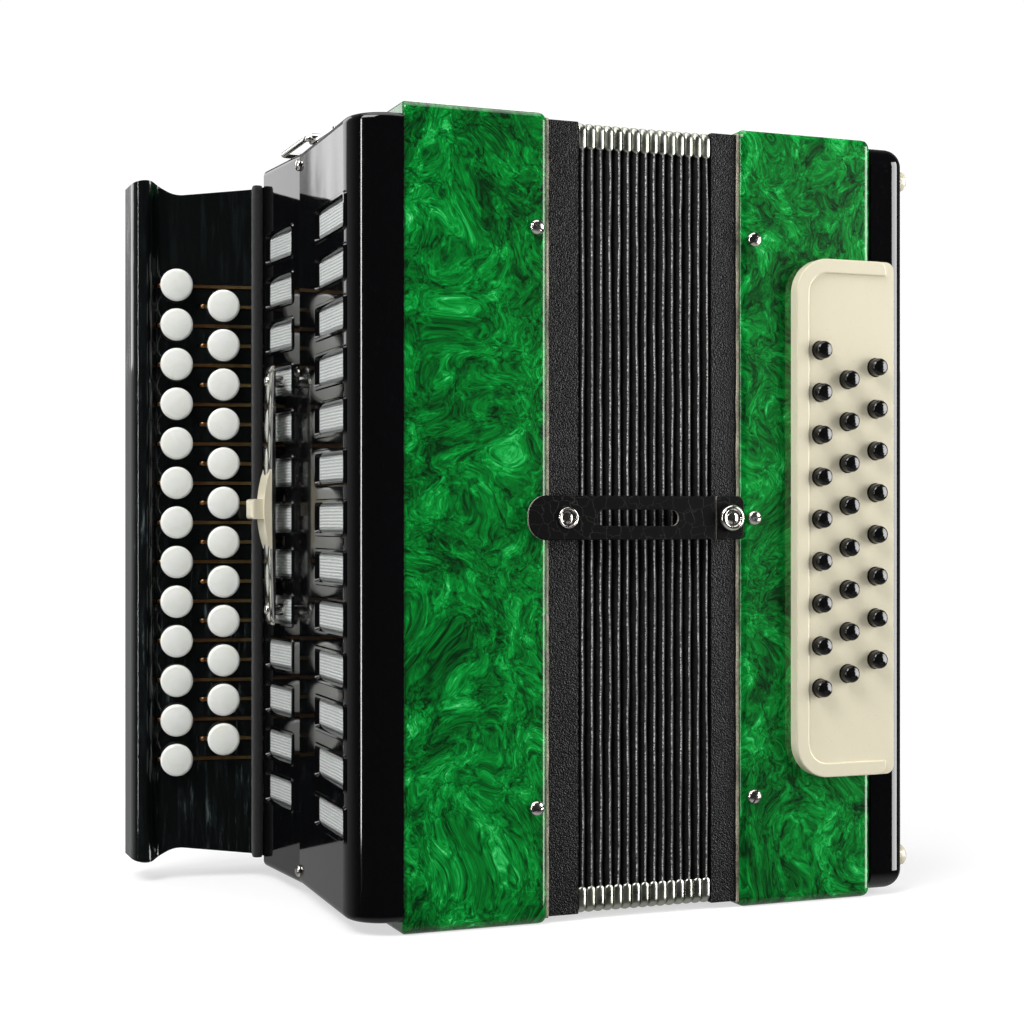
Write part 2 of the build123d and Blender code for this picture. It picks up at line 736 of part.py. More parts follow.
def main():
    os.makedirs("parts", exist_ok=True)
    write("treble_casework", casework(0, treble_end, cover_rim, bellows_rim))
    write("treble_deck", treble_deck())
    write("treble_reed_block", treble_reed_block())
    write("treble_grille", treble_grille())
    write("grille_cloth", grille_cloth())
    write("fingerboard", fingerboard())
    write("key_axle", key_axle())
    write("lever_felt_strip", lever_felt_strip())
    write("register_plate", register_plate())
    write("register_knob", register_knob())
    for row, number, z in pallet_places():
        write(f"treble_key_{row}_{number:02d}", treble_key(row, z))
    write("treble_bellows_frame", upright_ring(treble_end, treble_frame_end, frame_inset,
                                               frame_wall))
    write("treble_screws", treble_screws())
    write("strap_brackets", strap_brackets() + bracket_screws())
    ring_top, ring_back = strap_rings()
    write("strap_ring_top", ring_top)
    write("strap_ring_back", ring_back)
    write("strap_studs", [strap_stud(), mirror_to_back(strap_stud())])
    write("bellows_folds", bellows_folds())
    write("bellows_corner_caps", bellows_corner_caps())
    write("bass_bellows_frame", upright_ring(bass_frame_start, bass_start, frame_inset,
                                             frame_wall))
    write("bass_casework", bass_casework())
    write("bass_end_cover", bass_end_cover())
    write("bass_panel", bass_panel())
    for row in range(len(bass_rows)):
        write(f"bass_buttons_row_{row + 1}", bass_row(row))
    write("bass_deck", bass_deck())
    write("bass_reed_block", bass_reed_block())
    write("bass_screws", bass_screws())
    write("end_feet", end_feet())
    write("air_button", air_button())
    write("hand_strap", hand_strap())
    write("hand_strap_brackets", hand_strap_brackets())
    strap = bellows_strap()
    write("front_bellows_strap", strap)
    write("rear_bellows_strap", [mirror_to_back(piece) for piece in strap])
    anchor = strap_anchor() + [strap_tail()]
    write("strap_anchors", anchor + [mirror_to_back(piece) for piece in anchor])


main()
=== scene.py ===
import math
import random

import bmesh
import bpy
from mathutils import Matrix, Vector, noise


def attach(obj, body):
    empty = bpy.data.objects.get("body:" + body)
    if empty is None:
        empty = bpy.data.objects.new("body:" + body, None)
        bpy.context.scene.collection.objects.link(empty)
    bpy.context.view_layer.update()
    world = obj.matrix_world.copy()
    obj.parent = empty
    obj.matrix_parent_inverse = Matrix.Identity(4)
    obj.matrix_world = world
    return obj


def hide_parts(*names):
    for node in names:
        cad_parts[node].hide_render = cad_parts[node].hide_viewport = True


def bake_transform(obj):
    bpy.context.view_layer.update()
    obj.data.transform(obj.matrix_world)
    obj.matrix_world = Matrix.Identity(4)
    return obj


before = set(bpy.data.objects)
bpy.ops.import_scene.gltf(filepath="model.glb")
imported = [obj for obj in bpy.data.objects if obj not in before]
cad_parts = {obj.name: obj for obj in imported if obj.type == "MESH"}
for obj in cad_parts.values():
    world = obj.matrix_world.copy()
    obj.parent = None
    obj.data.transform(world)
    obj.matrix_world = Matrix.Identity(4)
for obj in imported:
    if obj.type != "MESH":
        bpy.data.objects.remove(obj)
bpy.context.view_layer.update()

MM = 0.001
MIDDLE_X, MIDDLE_Y = 95.95, 83.15      # the drawing's corner, from the frame's origin
HEIGHT, DEPTH = 327.0, 170.0
MIDDLE = HEIGHT / 2


def at(x, y, z):
    """A point of the drawing, in millimetres, as a point of the frame in metres."""
    return Vector(((x - MIDDLE_X) * MM, (y - MIDDLE_Y) * MM, z * MM))


def facing(origin, normal, up=(0, 0, 1)):
    """A placement at a point, with local Z along the normal; lengths are in millimetres."""
    z = Vector(normal).normalized()
    x = Vector(up).cross(z).normalized()
    y = z.cross(x)
    turn = Matrix((x, y, z)).transposed().to_4x4()
    return Matrix.Translation(origin) @ turn @ Matrix.Scale(MM, 4)


# ------------------------------------------------------------------ camera, floor and light

CAMERA_PLACE, CAMERA_YAW = (-231.2, -676.6, 161.7), -20.8


def set_camera():
    """A level camera, with its frame shifted a little."""
    data = bpy.data.cameras.new("camera")
    data.lens = 64.4
    data.sensor_width = 36
    data.shift_x = 0.0456
    data.shift_y = 0.0100
    camera = bpy.data.objects.new("camera", data)
    camera.location = at(*CAMERA_PLACE)
    camera.rotation_euler = (math.radians(90), 0, math.radians(CAMERA_YAW))
    bpy.context.collection.objects.link(camera)
    bpy.context.scene.camera = camera


def softbox(name, azimuth, elevation, distance, size, power, color=(1, 1, 1)):
    """A rectangular area light that faces the object. Azimuth 0 is in front, 90 at the left."""
    data = bpy.data.lights.new(name, "AREA")
    data.shape = "RECTANGLE"
    data.size, data.size_y = size
    data.energy = power
    data.color = color
    lamp = bpy.data.objects.new(name, data)
    a, e = math.radians(azimuth), math.radians(elevation)
    way = Vector((-math.sin(a) * math.cos(e), -math.cos(a) * math.cos(e), math.sin(e)))
    lamp.location = Vector((0, 0, 0.16)) + way * distance
    lamp.rotation_euler = way.to_track_quat("Z", "Y").to_euler()
    bpy.context.collection.objects.link(lamp)


def set_floor():
    """A pale disc that fades out, so that it has no visible edge."""
    radius = 3
    floor_mesh = bpy.data.meshes.new("floor")
    rim = [(radius * math.cos(t), radius * math.sin(t), 0) for t in
           (2 * math.pi * n / 64 for n in range(64))]
    floor_mesh.from_pydata(rim, [], [list(range(64))])
    floor = bpy.data.objects.new("floor", floor_mesh)
    bpy.context.collection.objects.link(floor)
    s = Shader("pale_floor")
    place = s.add("TexCoord").outputs["Object"]
    far = s.add("VectorMath", {0: place}, operation="LENGTH").outputs["Value"]
    fade = s.add("MapRange", {0: far, 1: 0.45, 2: 1.5, 3: 0.0, 4: 1.0},
                 interpolation_type="SMOOTHSTEP").outputs[0]
    white = s.add("BsdfDiffuse", {"Color": (0.42, 0.42, 0.42, 1)}).outputs[0]
    seen = s.math("MULTIPLY", s.add("LightPath").outputs["Is Camera Ray"], 0.62)
    glow = s.add("Emission", {"Color": (1, 1, 1, 1), "Strength": seen}).outputs[0]
    body = s.add("AddShader", {0: white, 1: glow}).outputs[0]
    clear = s.add("BsdfTransparent").outputs[0]
    s.surface(s.add("MixShader", {0: fade, 1: body, 2: clear}).outputs[0])
    floor_mesh.materials.append(s.material)
    floor.visible_glossy = False


def set_world():
    """White behind the object. For reflections, a dark room with a lit back and floor."""
    world = bpy.data.worlds.new("studio")
    bpy.context.scene.world = world
    world.use_nodes = True
    tree = world.node_tree
    tree.nodes.clear()
    add = tree.nodes.new

    def glow(socket, interpolation, values):
        node = add("ShaderNodeMapRange")
        tree.links.new(socket, node.inputs[0])
        node.interpolation_type = interpolation
        for n, value in enumerate(values):
            node.inputs[n + 1].default_value = value
        return node.outputs[0]

    coord, split = add("ShaderNodeTexCoord"), add("ShaderNodeSeparateXYZ")
    tree.links.new(coord.outputs["Generated"], split.inputs[0])
    both, room, backdrop = (add("ShaderNodeMath"), add("ShaderNodeBackground"),
                            add("ShaderNodeBackground"))
    both.operation = "MAXIMUM"
    behind = glow(split.outputs[1], "SMOOTHSTEP", (-0.1, 0.95, 0.03, 0.45))
    below = glow(split.outputs[2], "LINEAR", (-0.75, -0.32, 0.55, 0.0))
    tree.links.new(behind, both.inputs[0])
    tree.links.new(below, both.inputs[1])
    tree.links.new(both.outputs[0], room.inputs["Strength"])
    backdrop.inputs["Strength"].default_value = 1.05
    backdrop.inputs["Color"].default_value = (1, 1, 1, 1)
    path, mix, out = (add("ShaderNodeLightPath"), add("ShaderNodeMixShader"),
                      add("ShaderNodeOutputWorld"))
    tree.links.new(path.outputs["Is Camera Ray"], mix.inputs[0])
    tree.links.new(room.outputs[0], mix.inputs[1])
    tree.links.new(backdrop.outputs[0], mix.inputs[2])
    tree.links.new(mix.outputs[0], out.inputs[0])


def set_stage():
    set_floor()
    set_world()
    softbox("left_strip", 77, 5, 1.5, (0.06, 1.0), 5)
    softbox("left_high", 62, 48, 1.7, (1.0, 0.8), 24)
    softbox("right_tall", -60, 6, 1.7, (0.9, 1.4), 38)
    softbox("overhead", 0, 88, 1.6, (1.4, 1.4), 13)
    softbox("behind_left", 150, 25, 1.8, (0.9, 1.2), 7)
    softbox("behind_right", -145, 25, 1.8, (0.9, 1.2), 7)
    bpy.context.scene.view_settings.view_transform = "Standard"
    bpy.context.scene.view_settings.look = "None"


# ------------------------------------------------------------------ materials

class Shader:
    """A node material being built."""

    def __init__(self, name):
        self.material = bpy.data.materials.new(name)
        self.material.use_nodes = True
        self.tree = self.material.node_tree
        self.tree.nodes.clear()
        self.out = self.tree.nodes.new("ShaderNodeOutputMaterial")

    def add(self, kind, inputs=None, **settings):
        node = self.tree.nodes.new("ShaderNode" + kind)
        for key, value in settings.items():
            setattr(node, key, value)
        for key, value in (inputs or {}).items():
            if isinstance(value, bpy.types.NodeSocket):
                self.tree.links.new(value, node.inputs[key])
            else:
                node.inputs[key].default_value = value
        return node

    def surface(self, socket):
        self.tree.links.new(socket, self.out.inputs["Surface"])

    def principled(self, bumps=(), **inputs):
        """The usual shader. bumps are (height socket, strength, distance in metres)."""
        normal = None
        for height, strength, distance in bumps:
            bump = self.add("Bump", {"Height": height, "Strength": strength,
                                     "Distance": distance})
            if normal is not None:
                self.tree.links.new(normal, bump.inputs["Normal"])
            normal = bump.outputs[0]
        words = {key.replace("_", " "): value for key, value in inputs.items()}
        node = self.add("BsdfPrincipled", words)
        if normal is not None:
            self.tree.links.new(normal, node.inputs["Normal"])
        self.surface(node.outputs[0])
        return self.material

    def place(self, scale=(1, 1, 1)):
        """Object coordinates, stretched."""
        coord = self.add("TexCoord").outputs["Object"]
        return self.add("Mapping", {"Vector": coord, "Scale": scale}).outputs[0]

    def noise(self, vector, scale, detail=3.0, rough=0.5, distortion=0.0, color=False):
        node = self.add("TexNoise", {"Vector": vector, "Scale": scale, "Detail": detail,
                                     "Roughness": rough, "Distortion": distortion})
        return node.outputs[1 if color else 0]

    def math(self, operation, a, b=0.0):
        return self.add("Math", {0: a, 1: b}, operation=operation).outputs[0]

    def ramp(self, value, stops):
        node = self.add("ValToRGB", {0: value})
        band = node.color_ramp
        while len(band.elements) < len(stops):
            band.elements.new(0.5)
        for element, (where, color) in zip(band.elements, stops):
            element.position = where
            element.color = (*color, 1) if len(color) == 3 else color
        return node.outputs[0]

    def grey(self, value, low, high, from_low=0.0, from_high=1.0):
        """A value moved from one range to another."""
        return self.add("MapRange", {0: value, 1: from_low, 2: from_high,
                                     3: low, 4: high}).outputs[0]


def green_pearl():
    """Celluloid with a flame-like pearl figure under a clear coat."""
    s = Shader("green_pearl")
    place = s.place()

    def pushed(vector, scale, amount, detail=1.0):
        drift = s.noise(vector, scale, detail, color=True)
        drift = s.add("VectorMath", {0: drift, 1: (0.5, 0.5, 0.5)},
                      operation="SUBTRACT").outputs[0]
        drift = s.add("VectorMath", {0: drift, "Scale": amount}, operation="SCALE").outputs[0]
        return s.add("VectorMath", {0: vector, 1: drift}, operation="ADD").outputs[0]

    broad = pushed(place, 16, 0.060)
    bent = pushed(broad, 60, 0.022)
    curled = pushed(bent, 210, 0.0065, 2.0)
    along = s.add("Mapping", {"Vector": curled, "Scale": (1, 1, 0.42)}).outputs[0]
    clouds = s.noise(bent, 46, 4, 0.6)
    patches = s.noise(along, 130, 5, 0.65)
    fibres = s.noise(along, 620, 4, 0.72)
    fold = s.math("ABSOLUTE", s.math("SUBTRACT", s.noise(curled, 95, 3, 0.55), 0.5))
    edge = s.grey(fold, 1.0, 0.0, 0.0, 0.05)
    value = s.math("ADD", s.math("MULTIPLY", clouds, 0.70), s.math("MULTIPLY", patches, 0.75))
    value = s.math("ADD", value, s.math("MULTIPLY", fibres, 0.85))
    value = s.math("SUBTRACT", value, s.math("MULTIPLY", edge, 0.16))
    value = s.grey(value, 0, 1, 0.88, 1.52)
    color = s.ramp(value, ((0.0, (0.000, 0.022, 0.003)), (0.24, (0.000, 0.090, 0.010)),
                           (0.45, (0.000, 0.190, 0.020)), (0.63, (0.002, 0.330, 0.042)),
                           (0.80, (0.035, 0.560, 0.125)), (1.0, (0.330, 0.950, 0.470))))
    return s.principled(
        [(value, 0.12, 0.0004)], Base_Color=color, Roughness=0.4, Specular_IOR_Level=0.08,
        Coat_Weight=1.0, Coat_Roughness=0.03, Coat_IOR=1.45)


def black_gloss(name="black_gloss", tint=(0.0022, 0.0022, 0.0027), rough=0.05):
    """Polished lacquer with the faint waviness of hand polishing, and a little dust."""
    s = Shader(name)
    place = s.place()
    wave = s.noise(place, 26, 2)
    dust = s.grey(s.noise(place, 900, 2), 0, 1, 0.62, 0.75)
    streak = s.noise(s.place((1, 1, 0.08)), 60, 4)
    roughness = s.grey(streak, rough, rough + 0.05, 0.35, 0.8)
    color = s.ramp(dust, ((0.0, tint), (1.0, tuple(c * 3 for c in tint))))
    return s.principled([(wave, 0.12, 0.0008)], Base_Color=color, Roughness=roughness,
                        Specular_IOR_Level=0.5)


def board_gloss_painted_streaks():
    """The fingerboard's lacquer, with bluish streaks drawn out along the board painted into its
    colour as painted reflections; rougher where they lie.
    """
    s = Shader("board_gloss_painted_streaks")
    place = s.place()
    drawn = s.place((1, 1, 0.10))
    streak = s.grey(s.noise(drawn, 420, 4, 0.7), 0, 1, 0.50, 0.78)
    patch = s.grey(s.noise(place, 24, 3), 0.15, 1.0, 0.36, 0.66)
    painted_streak_glint = s.math("MULTIPLY", streak, patch)
    # bluish streaks in the colour: painted reflections along the lacquer
    color = s.ramp(painted_streak_glint, ((0.0, (0.0040, 0.0050, 0.0052)), (0.35, (0.012, 0.016, 0.017)),
                          (1.0, (0.16, 0.21, 0.22))))
    return s.principled([(s.noise(place, 26, 2), 0.12, 0.0008)], Base_Color=color,
                        Roughness=s.grey(painted_streak_glint, 0.06, 0.22), Specular_IOR_Level=0.5)


def nickel(name="nickel", tint=(0.78, 0.75, 0.71), low=0.10, high=0.30):
    s = Shader(name)
    place = s.place()
    smear = s.noise(place, 180, 4)
    pits = s.noise(place, 2200, 2)
    rough = s.grey(smear, low, high, 0.35, 0.75)
    color = s.ramp(smear, ((0.3, tuple(c * 0.80 for c in tint)), (0.7, tint)))
    return s.principled([(pits, 0.06, 0.0001)], Base_Color=color, Metallic=1.0,
                        Roughness=rough)


def brass():
    """Lever brass, gold near the cover and coppery with handling further out."""
    s = Shader("lever_brass")
    place = s.place()
    split = s.add("SeparateXYZ", {0: place}).outputs[0]
    along = s.grey(split, 0, 1, -0.160, -0.118)
    stain = s.noise(place, 240, 4)
    along = s.math("ADD", along, s.grey(stain, -0.25, 0.25, 0.3, 0.7))
    color = s.ramp(along, ((0.0, (0.34, 0.15, 0.07)), (0.5, (0.50, 0.27, 0.11)),
                           (1.0, (0.62, 0.45, 0.20))))
    return s.principled([(stain, 0.15, 0.0002)], Base_Color=color, Metallic=1.0,
                        Roughness=0.33)


def pearl_white():
    """Button plastic with a faint mother-of-pearl figure."""
    s = Shader("pearl_white")
    place = s.place()
    swirl = s.noise(place, 120, 5, 0.55, 1.5)
    color = s.ramp(swirl, ((0.3, (0.93, 0.95, 0.87)), (0.5, (0.96, 0.98, 0.92)),
                           (0.7, (1.0, 1.0, 0.97))))
    return s.principled([(swirl, 0.04, 0.0003)], Base_Color=color, Roughness=0.22,
                        Coat_Weight=0.6, Coat_Roughness=0.06, Subsurface_Weight=0.12,
                        Subsurface_Radius=(0.003, 0.003, 0.002))


def cream():
    """Ivory plastic, a little uneven."""
    s, tint = Shader("cream"), (0.80, 0.74, 0.56)
    place = s.place()
    cloud = s.noise(place, 35, 3)
    speck = s.grey(s.noise(place, 1300, 2), 0, 1, 0.66, 0.74)
    color = s.ramp(cloud, ((0.3, tuple(c * 0.965 for c in tint)), (0.7, tint)))
    color = s.add("Mix", {0: s.math("MULTIPLY", speck, 0.25), 6: color,
                          7: (0.45, 0.38, 0.24, 1)}, data_type="RGBA").outputs[2]
    peel = s.noise(place, 240, 2)
    return s.principled([(peel, 0.05, 0.0003)], Base_Color=color, Roughness=0.24,
                        Coat_Weight=0.35, Coat_Roughness=0.1)


def pebbled():
    """Pebble-grained covering with pale specks scattered by noise: part wear, part painted glints
    of the grain.
    """
    s = Shader("leatherette")
    place = s.place()
    cells = s.add("TexVoronoi", {"Vector": place, "Scale": 1900}, feature="SMOOTH_F1")
    grain = s.math("SUBTRACT", 1.0, cells.outputs["Distance"])
    patch = s.noise(place, 60, 4)
    # pale specks: part wear, part painted glints
    wear_and_painted_glints = s.grey(s.noise(place, 2100, 3, 0.7), 0, 1, 0.585, 0.72)
    wear_and_painted_glints = s.math("MULTIPLY", wear_and_painted_glints, s.grey(patch, 0.1, 0.45, 0.35, 0.7))
    color = s.ramp(wear_and_painted_glints, ((0.0, (0.0040, 0.0040, 0.0044)), (1.0, (0.50, 0.50, 0.48))))
    return s.principled([(grain, 0.8, 0.0005)], Base_Color=color, Roughness=0.40,
                        Specular_IOR_Level=0.22)


def worn_and_highlit_ridge():
    """The outer edge of a bellows fold, pale in specks: part wear, part painted highlight on the
    crest.
    """
    s = Shader("bellows_ridge")
    place = s.place()
    speck = s.grey(s.noise(place, 1300, 4, 0.75), 0, 1, 0.44, 0.62)
    patch = s.grey(s.noise(place, 45, 3), 0.45, 1.0, 0.35, 0.7)
    color = s.ramp(s.math("MULTIPLY", speck, patch),
                   ((0.0, (0.02, 0.02, 0.02)), (1.0, (0.80, 0.80, 0.77))))
    grain = s.noise(place, 1100, 3)
    return s.principled([(grain, 0.5, 0.0003)], Base_Color=color, Roughness=0.45)


def bellows_cloth():
    s = Shader("bellows_cloth")
    place = s.place()
    weave = s.noise(place, 1500, 3)
    dust = s.grey(s.noise(place, 500, 4), 0, 0.05, 0.5, 0.8)
    color = s.ramp(dust, ((0.0, (0.0045, 0.0045, 0.005)), (1.0, (0.4, 0.4, 0.4))))
    return s.principled([(weave, 0.3, 0.0002)], Base_Color=color, Roughness=0.7,
                        Specular_IOR_Level=0.25)


def strap_leather():
    """Black leather with a faint crackle."""
    s = Shader("strap_leather")
    place = s.place()
    drift = s.add("VectorMath", {0: s.noise(place, 260, 2, color=True), "Scale": 0.004},
                  operation="SCALE").outputs[0]
    bent = s.add("VectorMath", {0: place, 1: drift}, operation="ADD").outputs[0]
    lines = s.add("TexVoronoi", {"Vector": bent, "Scale": 170}, feature="DISTANCE_TO_EDGE")
    crack = s.grey(lines.outputs["Distance"], 1, 0, 0.0, 0.022)
    grain = s.noise(place, 1500, 4)
    color = s.ramp(s.math("MULTIPLY", crack, s.grey(s.noise(place, 50), 0.1, 1)),
                   ((0.0, (0.0035, 0.0038, 0.0035)), (1.0, (0.040, 0.042, 0.038))))
    return s.principled([(grain, 0.25, 0.0002), (crack, 0.3, 0.0002)], Base_Color=color,
                        Roughness=0.45, Specular_IOR_Level=0.07)


def raw_edge_painted_highlight():
    """The cut edge of leather or card, pale: part the edge's own colour, part a painted highlight
    along the edge.
    """
    s = Shader("raw_edge_painted_highlight")
    place = s.place()
    fibre = s.noise(place, 1400, 4, 0.7)
    color = s.ramp(fibre, ((0.35, (0.10, 0.09, 0.08)), (0.65, (0.42, 0.39, 0.34))))
    return s.principled([(fibre, 0.6, 0.0002)], Base_Color=color, Roughness=0.85)


def gasket_cloth():
    s = Shader("gasket_cloth")
    place = s.place()
    fibre = s.noise(place, 1100, 4, 0.7)
    stain = s.noise(place, 70, 4)
    color = s.ramp(s.math("MULTIPLY", fibre, stain),
                   ((0.12, (0.08, 0.07, 0.05)), (0.38, (0.60, 0.54, 0.42))))
    return s.principled([(fibre, 0.6, 0.0003)], Base_Color=color, Roughness=0.9)


def silver_cloth():
    """Ribbed grille cloth: its threads' glints painted into the colour as white specks, with no
    metal in the shader, and the grooves between ribs painted darker as shade.
    """
    s = Shader("silver_cloth")
    up = s.add("SeparateXYZ", {0: s.place()}).outputs[2]
    wander = s.math("MULTIPLY", s.noise(s.place(), 160, 3), 0.0005)
    turns = s.math("MULTIPLY", s.math("ADD", up, wander), 2 * math.pi / 0.0013)
    ribs = s.grey(s.math("SINE", turns), 0, 1, -1, 1)
    place = s.place((1, 1, 2.2))
    glint = s.noise(place, 1600, 3, 0.8)
    painted_glint_specks = s.grey(glint, 0, 1, 0.55, 0.70)
    # painted shade in the rib grooves, and painted glints of the threads
    value = s.math("ADD", s.math("MULTIPLY", ribs, 0.25), s.math("MULTIPLY", painted_glint_specks, 0.8))
    color = s.ramp(value, ((0.0, (0.40, 0.42, 0.41)), (0.5, (0.84, 0.87, 0.85)),
                           (1.0, (1.0, 1.0, 1.0))))
    return s.principled([(ribs, 0.5, 0.0003), (glint, 0.5, 0.0003)], Base_Color=color,
                        Metallic=0.0, Roughness=0.45)


def felt():
    s = Shader("felt")
    place = s.place()
    fibre = s.noise(place, 1900, 5, 0.75)
    color = s.ramp(fibre, ((0.35, (0.005, 0.005, 0.005)), (0.75, (0.028, 0.028, 0.030))))
    return s.principled([(fibre, 0.9, 0.0005)], Base_Color=color, Roughness=0.95,
                        Sheen_Weight=0.25, Sheen_Roughness=0.5)


def wood():
    s = Shader("wood")
    rings = s.noise(s.place((60, 60, 3)), 6, 5, 0.6, 0.6)
    fine = s.noise(s.place((900, 900, 30)), 1, 3)
    value = s.math("ADD", s.math("MULTIPLY", rings, 0.8), s.math("MULTIPLY", fine, 0.3))
    color = s.ramp(value, ((0.3, (0.30, 0.17, 0.075)), (0.55, (0.50, 0.32, 0.16)),
                           (0.8, (0.62, 0.44, 0.25))))
    return s.principled([(value, 0.3, 0.0003)], Base_Color=color, Roughness=0.6)


def thread():
    """Waxed sewing thread."""
    s = Shader("thread")
    twist = s.noise(s.place((1, 1, 3)), 1800, 2)
    color = s.ramp(twist, ((0.3, (0.03, 0.03, 0.03)), (0.7, (0.14, 0.14, 0.13))))
    return s.principled([(twist, 0.5, 0.0001)], Base_Color=color, Roughness=0.6)


# ------------------------------------------------------------------ mesh building

class Piece:
    """Collects shapes for one object. Each shape is placed by a matrix."""

    def __init__(self):
        self.verts, self.faces, self.slots = [], [], []

    def add(self, shape, place=None, slot=0):
        verts, faces = shape[:2]
        slots = shape[2] if len(shape) > 2 else None
        start = len(self.verts)
        self.verts += [place @ Vector(v) if place else Vector(v) for v in verts]
        self.faces += [[start + i for i in f] for f in faces]
        self.slots += slots if slots else [slot] * len(faces)

    def make(self, name, materials, angle=38):
        mesh = bpy.data.meshes.new(name)
        mesh.from_pydata([tuple(v) for v in self.verts], [], self.faces)
        for m in materials:
            mesh.materials.append(m)
        mesh.polygons.foreach_set("material_index", self.slots)
        work = bmesh.new()
        work.from_mesh(mesh)
        bmesh.ops.recalc_face_normals(work, faces=work.faces)
        work.to_mesh(mesh)
        work.free()
        mesh.shade_smooth()
        mesh.set_sharp_from_angle(angle=math.radians(angle))
        obj = bpy.data.objects.new(name, mesh)
        bpy.context.collection.objects.link(obj)
        return obj


def assemble(name, materials, angle, *entries):
    """One object from its shapes. An entry is a shape, its place and its material's number."""
    piece = Piece()
    for entry in entries:
        piece.add(*entry)
    return piece.make(name, materials, angle)


def stands_for(obj, body, slot, *nodes):
    """Set what a piece rides on and hide the CAD nodes it replaces; its finish (slot) is not used.
    """
    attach(obj, body)
    if nodes:
        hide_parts(*nodes)


def lathe(profile, steps=48):
    """A profile of (radius, height) turned about local Z. A radius of 0 closes the shape."""
    verts, faces, rings = [], [], []
    for radius, height in profile:
        if radius < 1e-6:
            rings.append([len(verts)])
            verts.append((0, 0, height))
            continue
        rings.append(list(range(len(verts), len(verts) + steps)))
        verts += [(radius * math.cos(2 * math.pi * n / steps),
                   radius * math.sin(2 * math.pi * n / steps), height) for n in range(steps)]
    for low, high in zip(rings, rings[1:]):
        for n in range(steps):
            m = (n + 1) % steps
            if len(low) == 1:
                faces.append([low[0], high[m], high[n]])
            elif len(high) == 1:
                faces.append([low[n], low[m], high[0]])
            else:
                faces.append([low[n], low[m], high[m], high[n]])
    return verts, faces


def dome(radius, low, high, edge, crown=0.0, steps=6):
    """A lathe profile: a flat-sided disc with a rounded upper edge and a crowned top."""
    out = [(0, low), (radius - 0.3, low), (radius, low + 0.3)]
    for n in range(steps + 1):
        t = math.pi / 2 * n / steps
        out.append((radius - edge + edge * math.cos(t), high - crown - edge + edge * math.sin(t)))
    for n in range(1, 5):
        share = 1 - n / 4
        out.append(((radius - edge) * share, high - crown * share ** 2))
    return out


def from_bmesh(work):
    work.verts.index_update()
    shape = [v.co.copy() for v in work.verts], [[v.index for v in f.verts] for f in work.faces]
    work.free()
    return shape


def soft_box(low, high, bevel, steps=2):
    """A box with rounded edges."""
    low, high = Vector(low), Vector(high)
    work = bmesh.new()
    bmesh.ops.create_cube(work, size=1)
    for v in work.verts:
        v.co = Vector([(a + b) / 2 + c * (b - a) for a, b, c in zip(low, high, v.co)])
    bmesh.ops.bevel(work, geom=work.edges, offset=bevel, segments=steps, profile=0.5,
                    affect="EDGES")
    return from_bmesh(work)


def blade(points, z0, z1, bevel=0.15):
    """An XY outline with thickness along Z and broken edges."""
    work = bmesh.new()
    low = [work.verts.new((x, y, z0)) for x, y in points]
    high = [work.verts.new((x, y, z1)) for x, y in points]
    count = len(points)
    ends = [work.faces.new(low[::-1]), work.faces.new(high)]
    for n in range(count):
        m = (n + 1) % count
        work.faces.new((low[n], low[m], high[m], high[n]))
    bmesh.ops.bevel(work, geom=[e for f in ends for e in f.edges], offset=bevel, segments=1,
                    affect="EDGES")
    bmesh.ops.triangulate(work, faces=[f for f in work.faces if len(f.verts) > 4])
    return from_bmesh(work)


def frame_loop(inset, corner, steps=5, side_steps=1):
    """Points in (y, z) round the bellows outline at an inset, in millimetres."""
    edge = inset + corner
    centres = ((DEPTH - edge, HEIGHT - edge), (edge, HEIGHT - edge), (edge, edge),
               (DEPTH - edge, edge))
    points = []
    for n, (cy, cz) in enumerate(centres):
        for k in range(steps + 1):
            t = math.radians(90 * (n + k / steps))
            points.append((cy + corner * math.cos(t), cz + corner * math.sin(t)))
        y, z = points[-1]
        next_y, next_z = centres[(n + 1) % 4]
        for k in range(1, side_steps):
            share = k / side_steps
            points.append((y + (next_y - cy) * share, z + (next_z - cz) * share))
    return points


def skin(loops, capped=False):
    """Faces between successive closed loops of equal length, with flat ends if capped."""
    size = len(loops[0])
    last = (len(loops) - 1) * size
    faces = []
    for a in range(0, last, size):
        for n in range(size):
            m = (n + 1) % size
            faces.append([a + n, a + m, a + size + m, a + size + n])
    if capped:
        faces += [list(range(size))[::-1], list(range(last, last + size))]
    return [point for loop in loops for point in loop], faces


def grid(rows):
    """Faces between successive open rows of equal length."""
    size = len(rows[0])
    faces = [[a, a + 1, a + size + 1, a + size] for r in range(len(rows) - 1)
             for a in range(r * size, (r + 1) * size - 1)]
    return [point for row in rows for point in row], faces


def paint(material, *nodes):
    """Give CAD nodes a better material."""
    for name in nodes:
        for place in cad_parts[name].material_slots:
            place.link = "OBJECT"
            place.material = material


# ------------------------------------------------------------------ bellows

TREBLE_FRAME_END, BASS_FRAME_START = 75.9, 136.8
FOLDS = 15
PITCH = (BASS_FRAME_START - TREBLE_FRAME_END) / FOLDS
FOLD_INSET, WALL_INSET, VALLEY_INSET = 2.9, 8.0, 17.0
RIDGE_HALF, RIDGE_DROP = 1.36, 1.6
# these crest strips take the pale ridge finish: part wear, part painted highlight
WORN_AND_HIGHLIT_ROWS = (3, 4)                      # the strips of a ridge on either side of its crest
CAP_LEG, CAP_HALF, CAP_BEND = 10.6, 1.90, 3.0
STIFF = 60000.0                         # a blend length; the blend itself is not applied


def step_of(share):
    """Where a smooth step from 0 to 1 reaches this share."""
    return 0.5 - math.sin(math.asin(1 - 2 * share) / 3)


def spread(obj, x0, share0, x1, share1):
    """Bake a bellows piece's placement into its mesh; it is not made to open here."""
    t0, t1 = step_of(share0), step_of(share1)
    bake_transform(obj)


def rigid_share(obj, x, share):
    """Bake a bellows piece's placement into its mesh; it is not made to move here."""
    start = x - step_of(share) * STIFF
    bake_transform(obj)


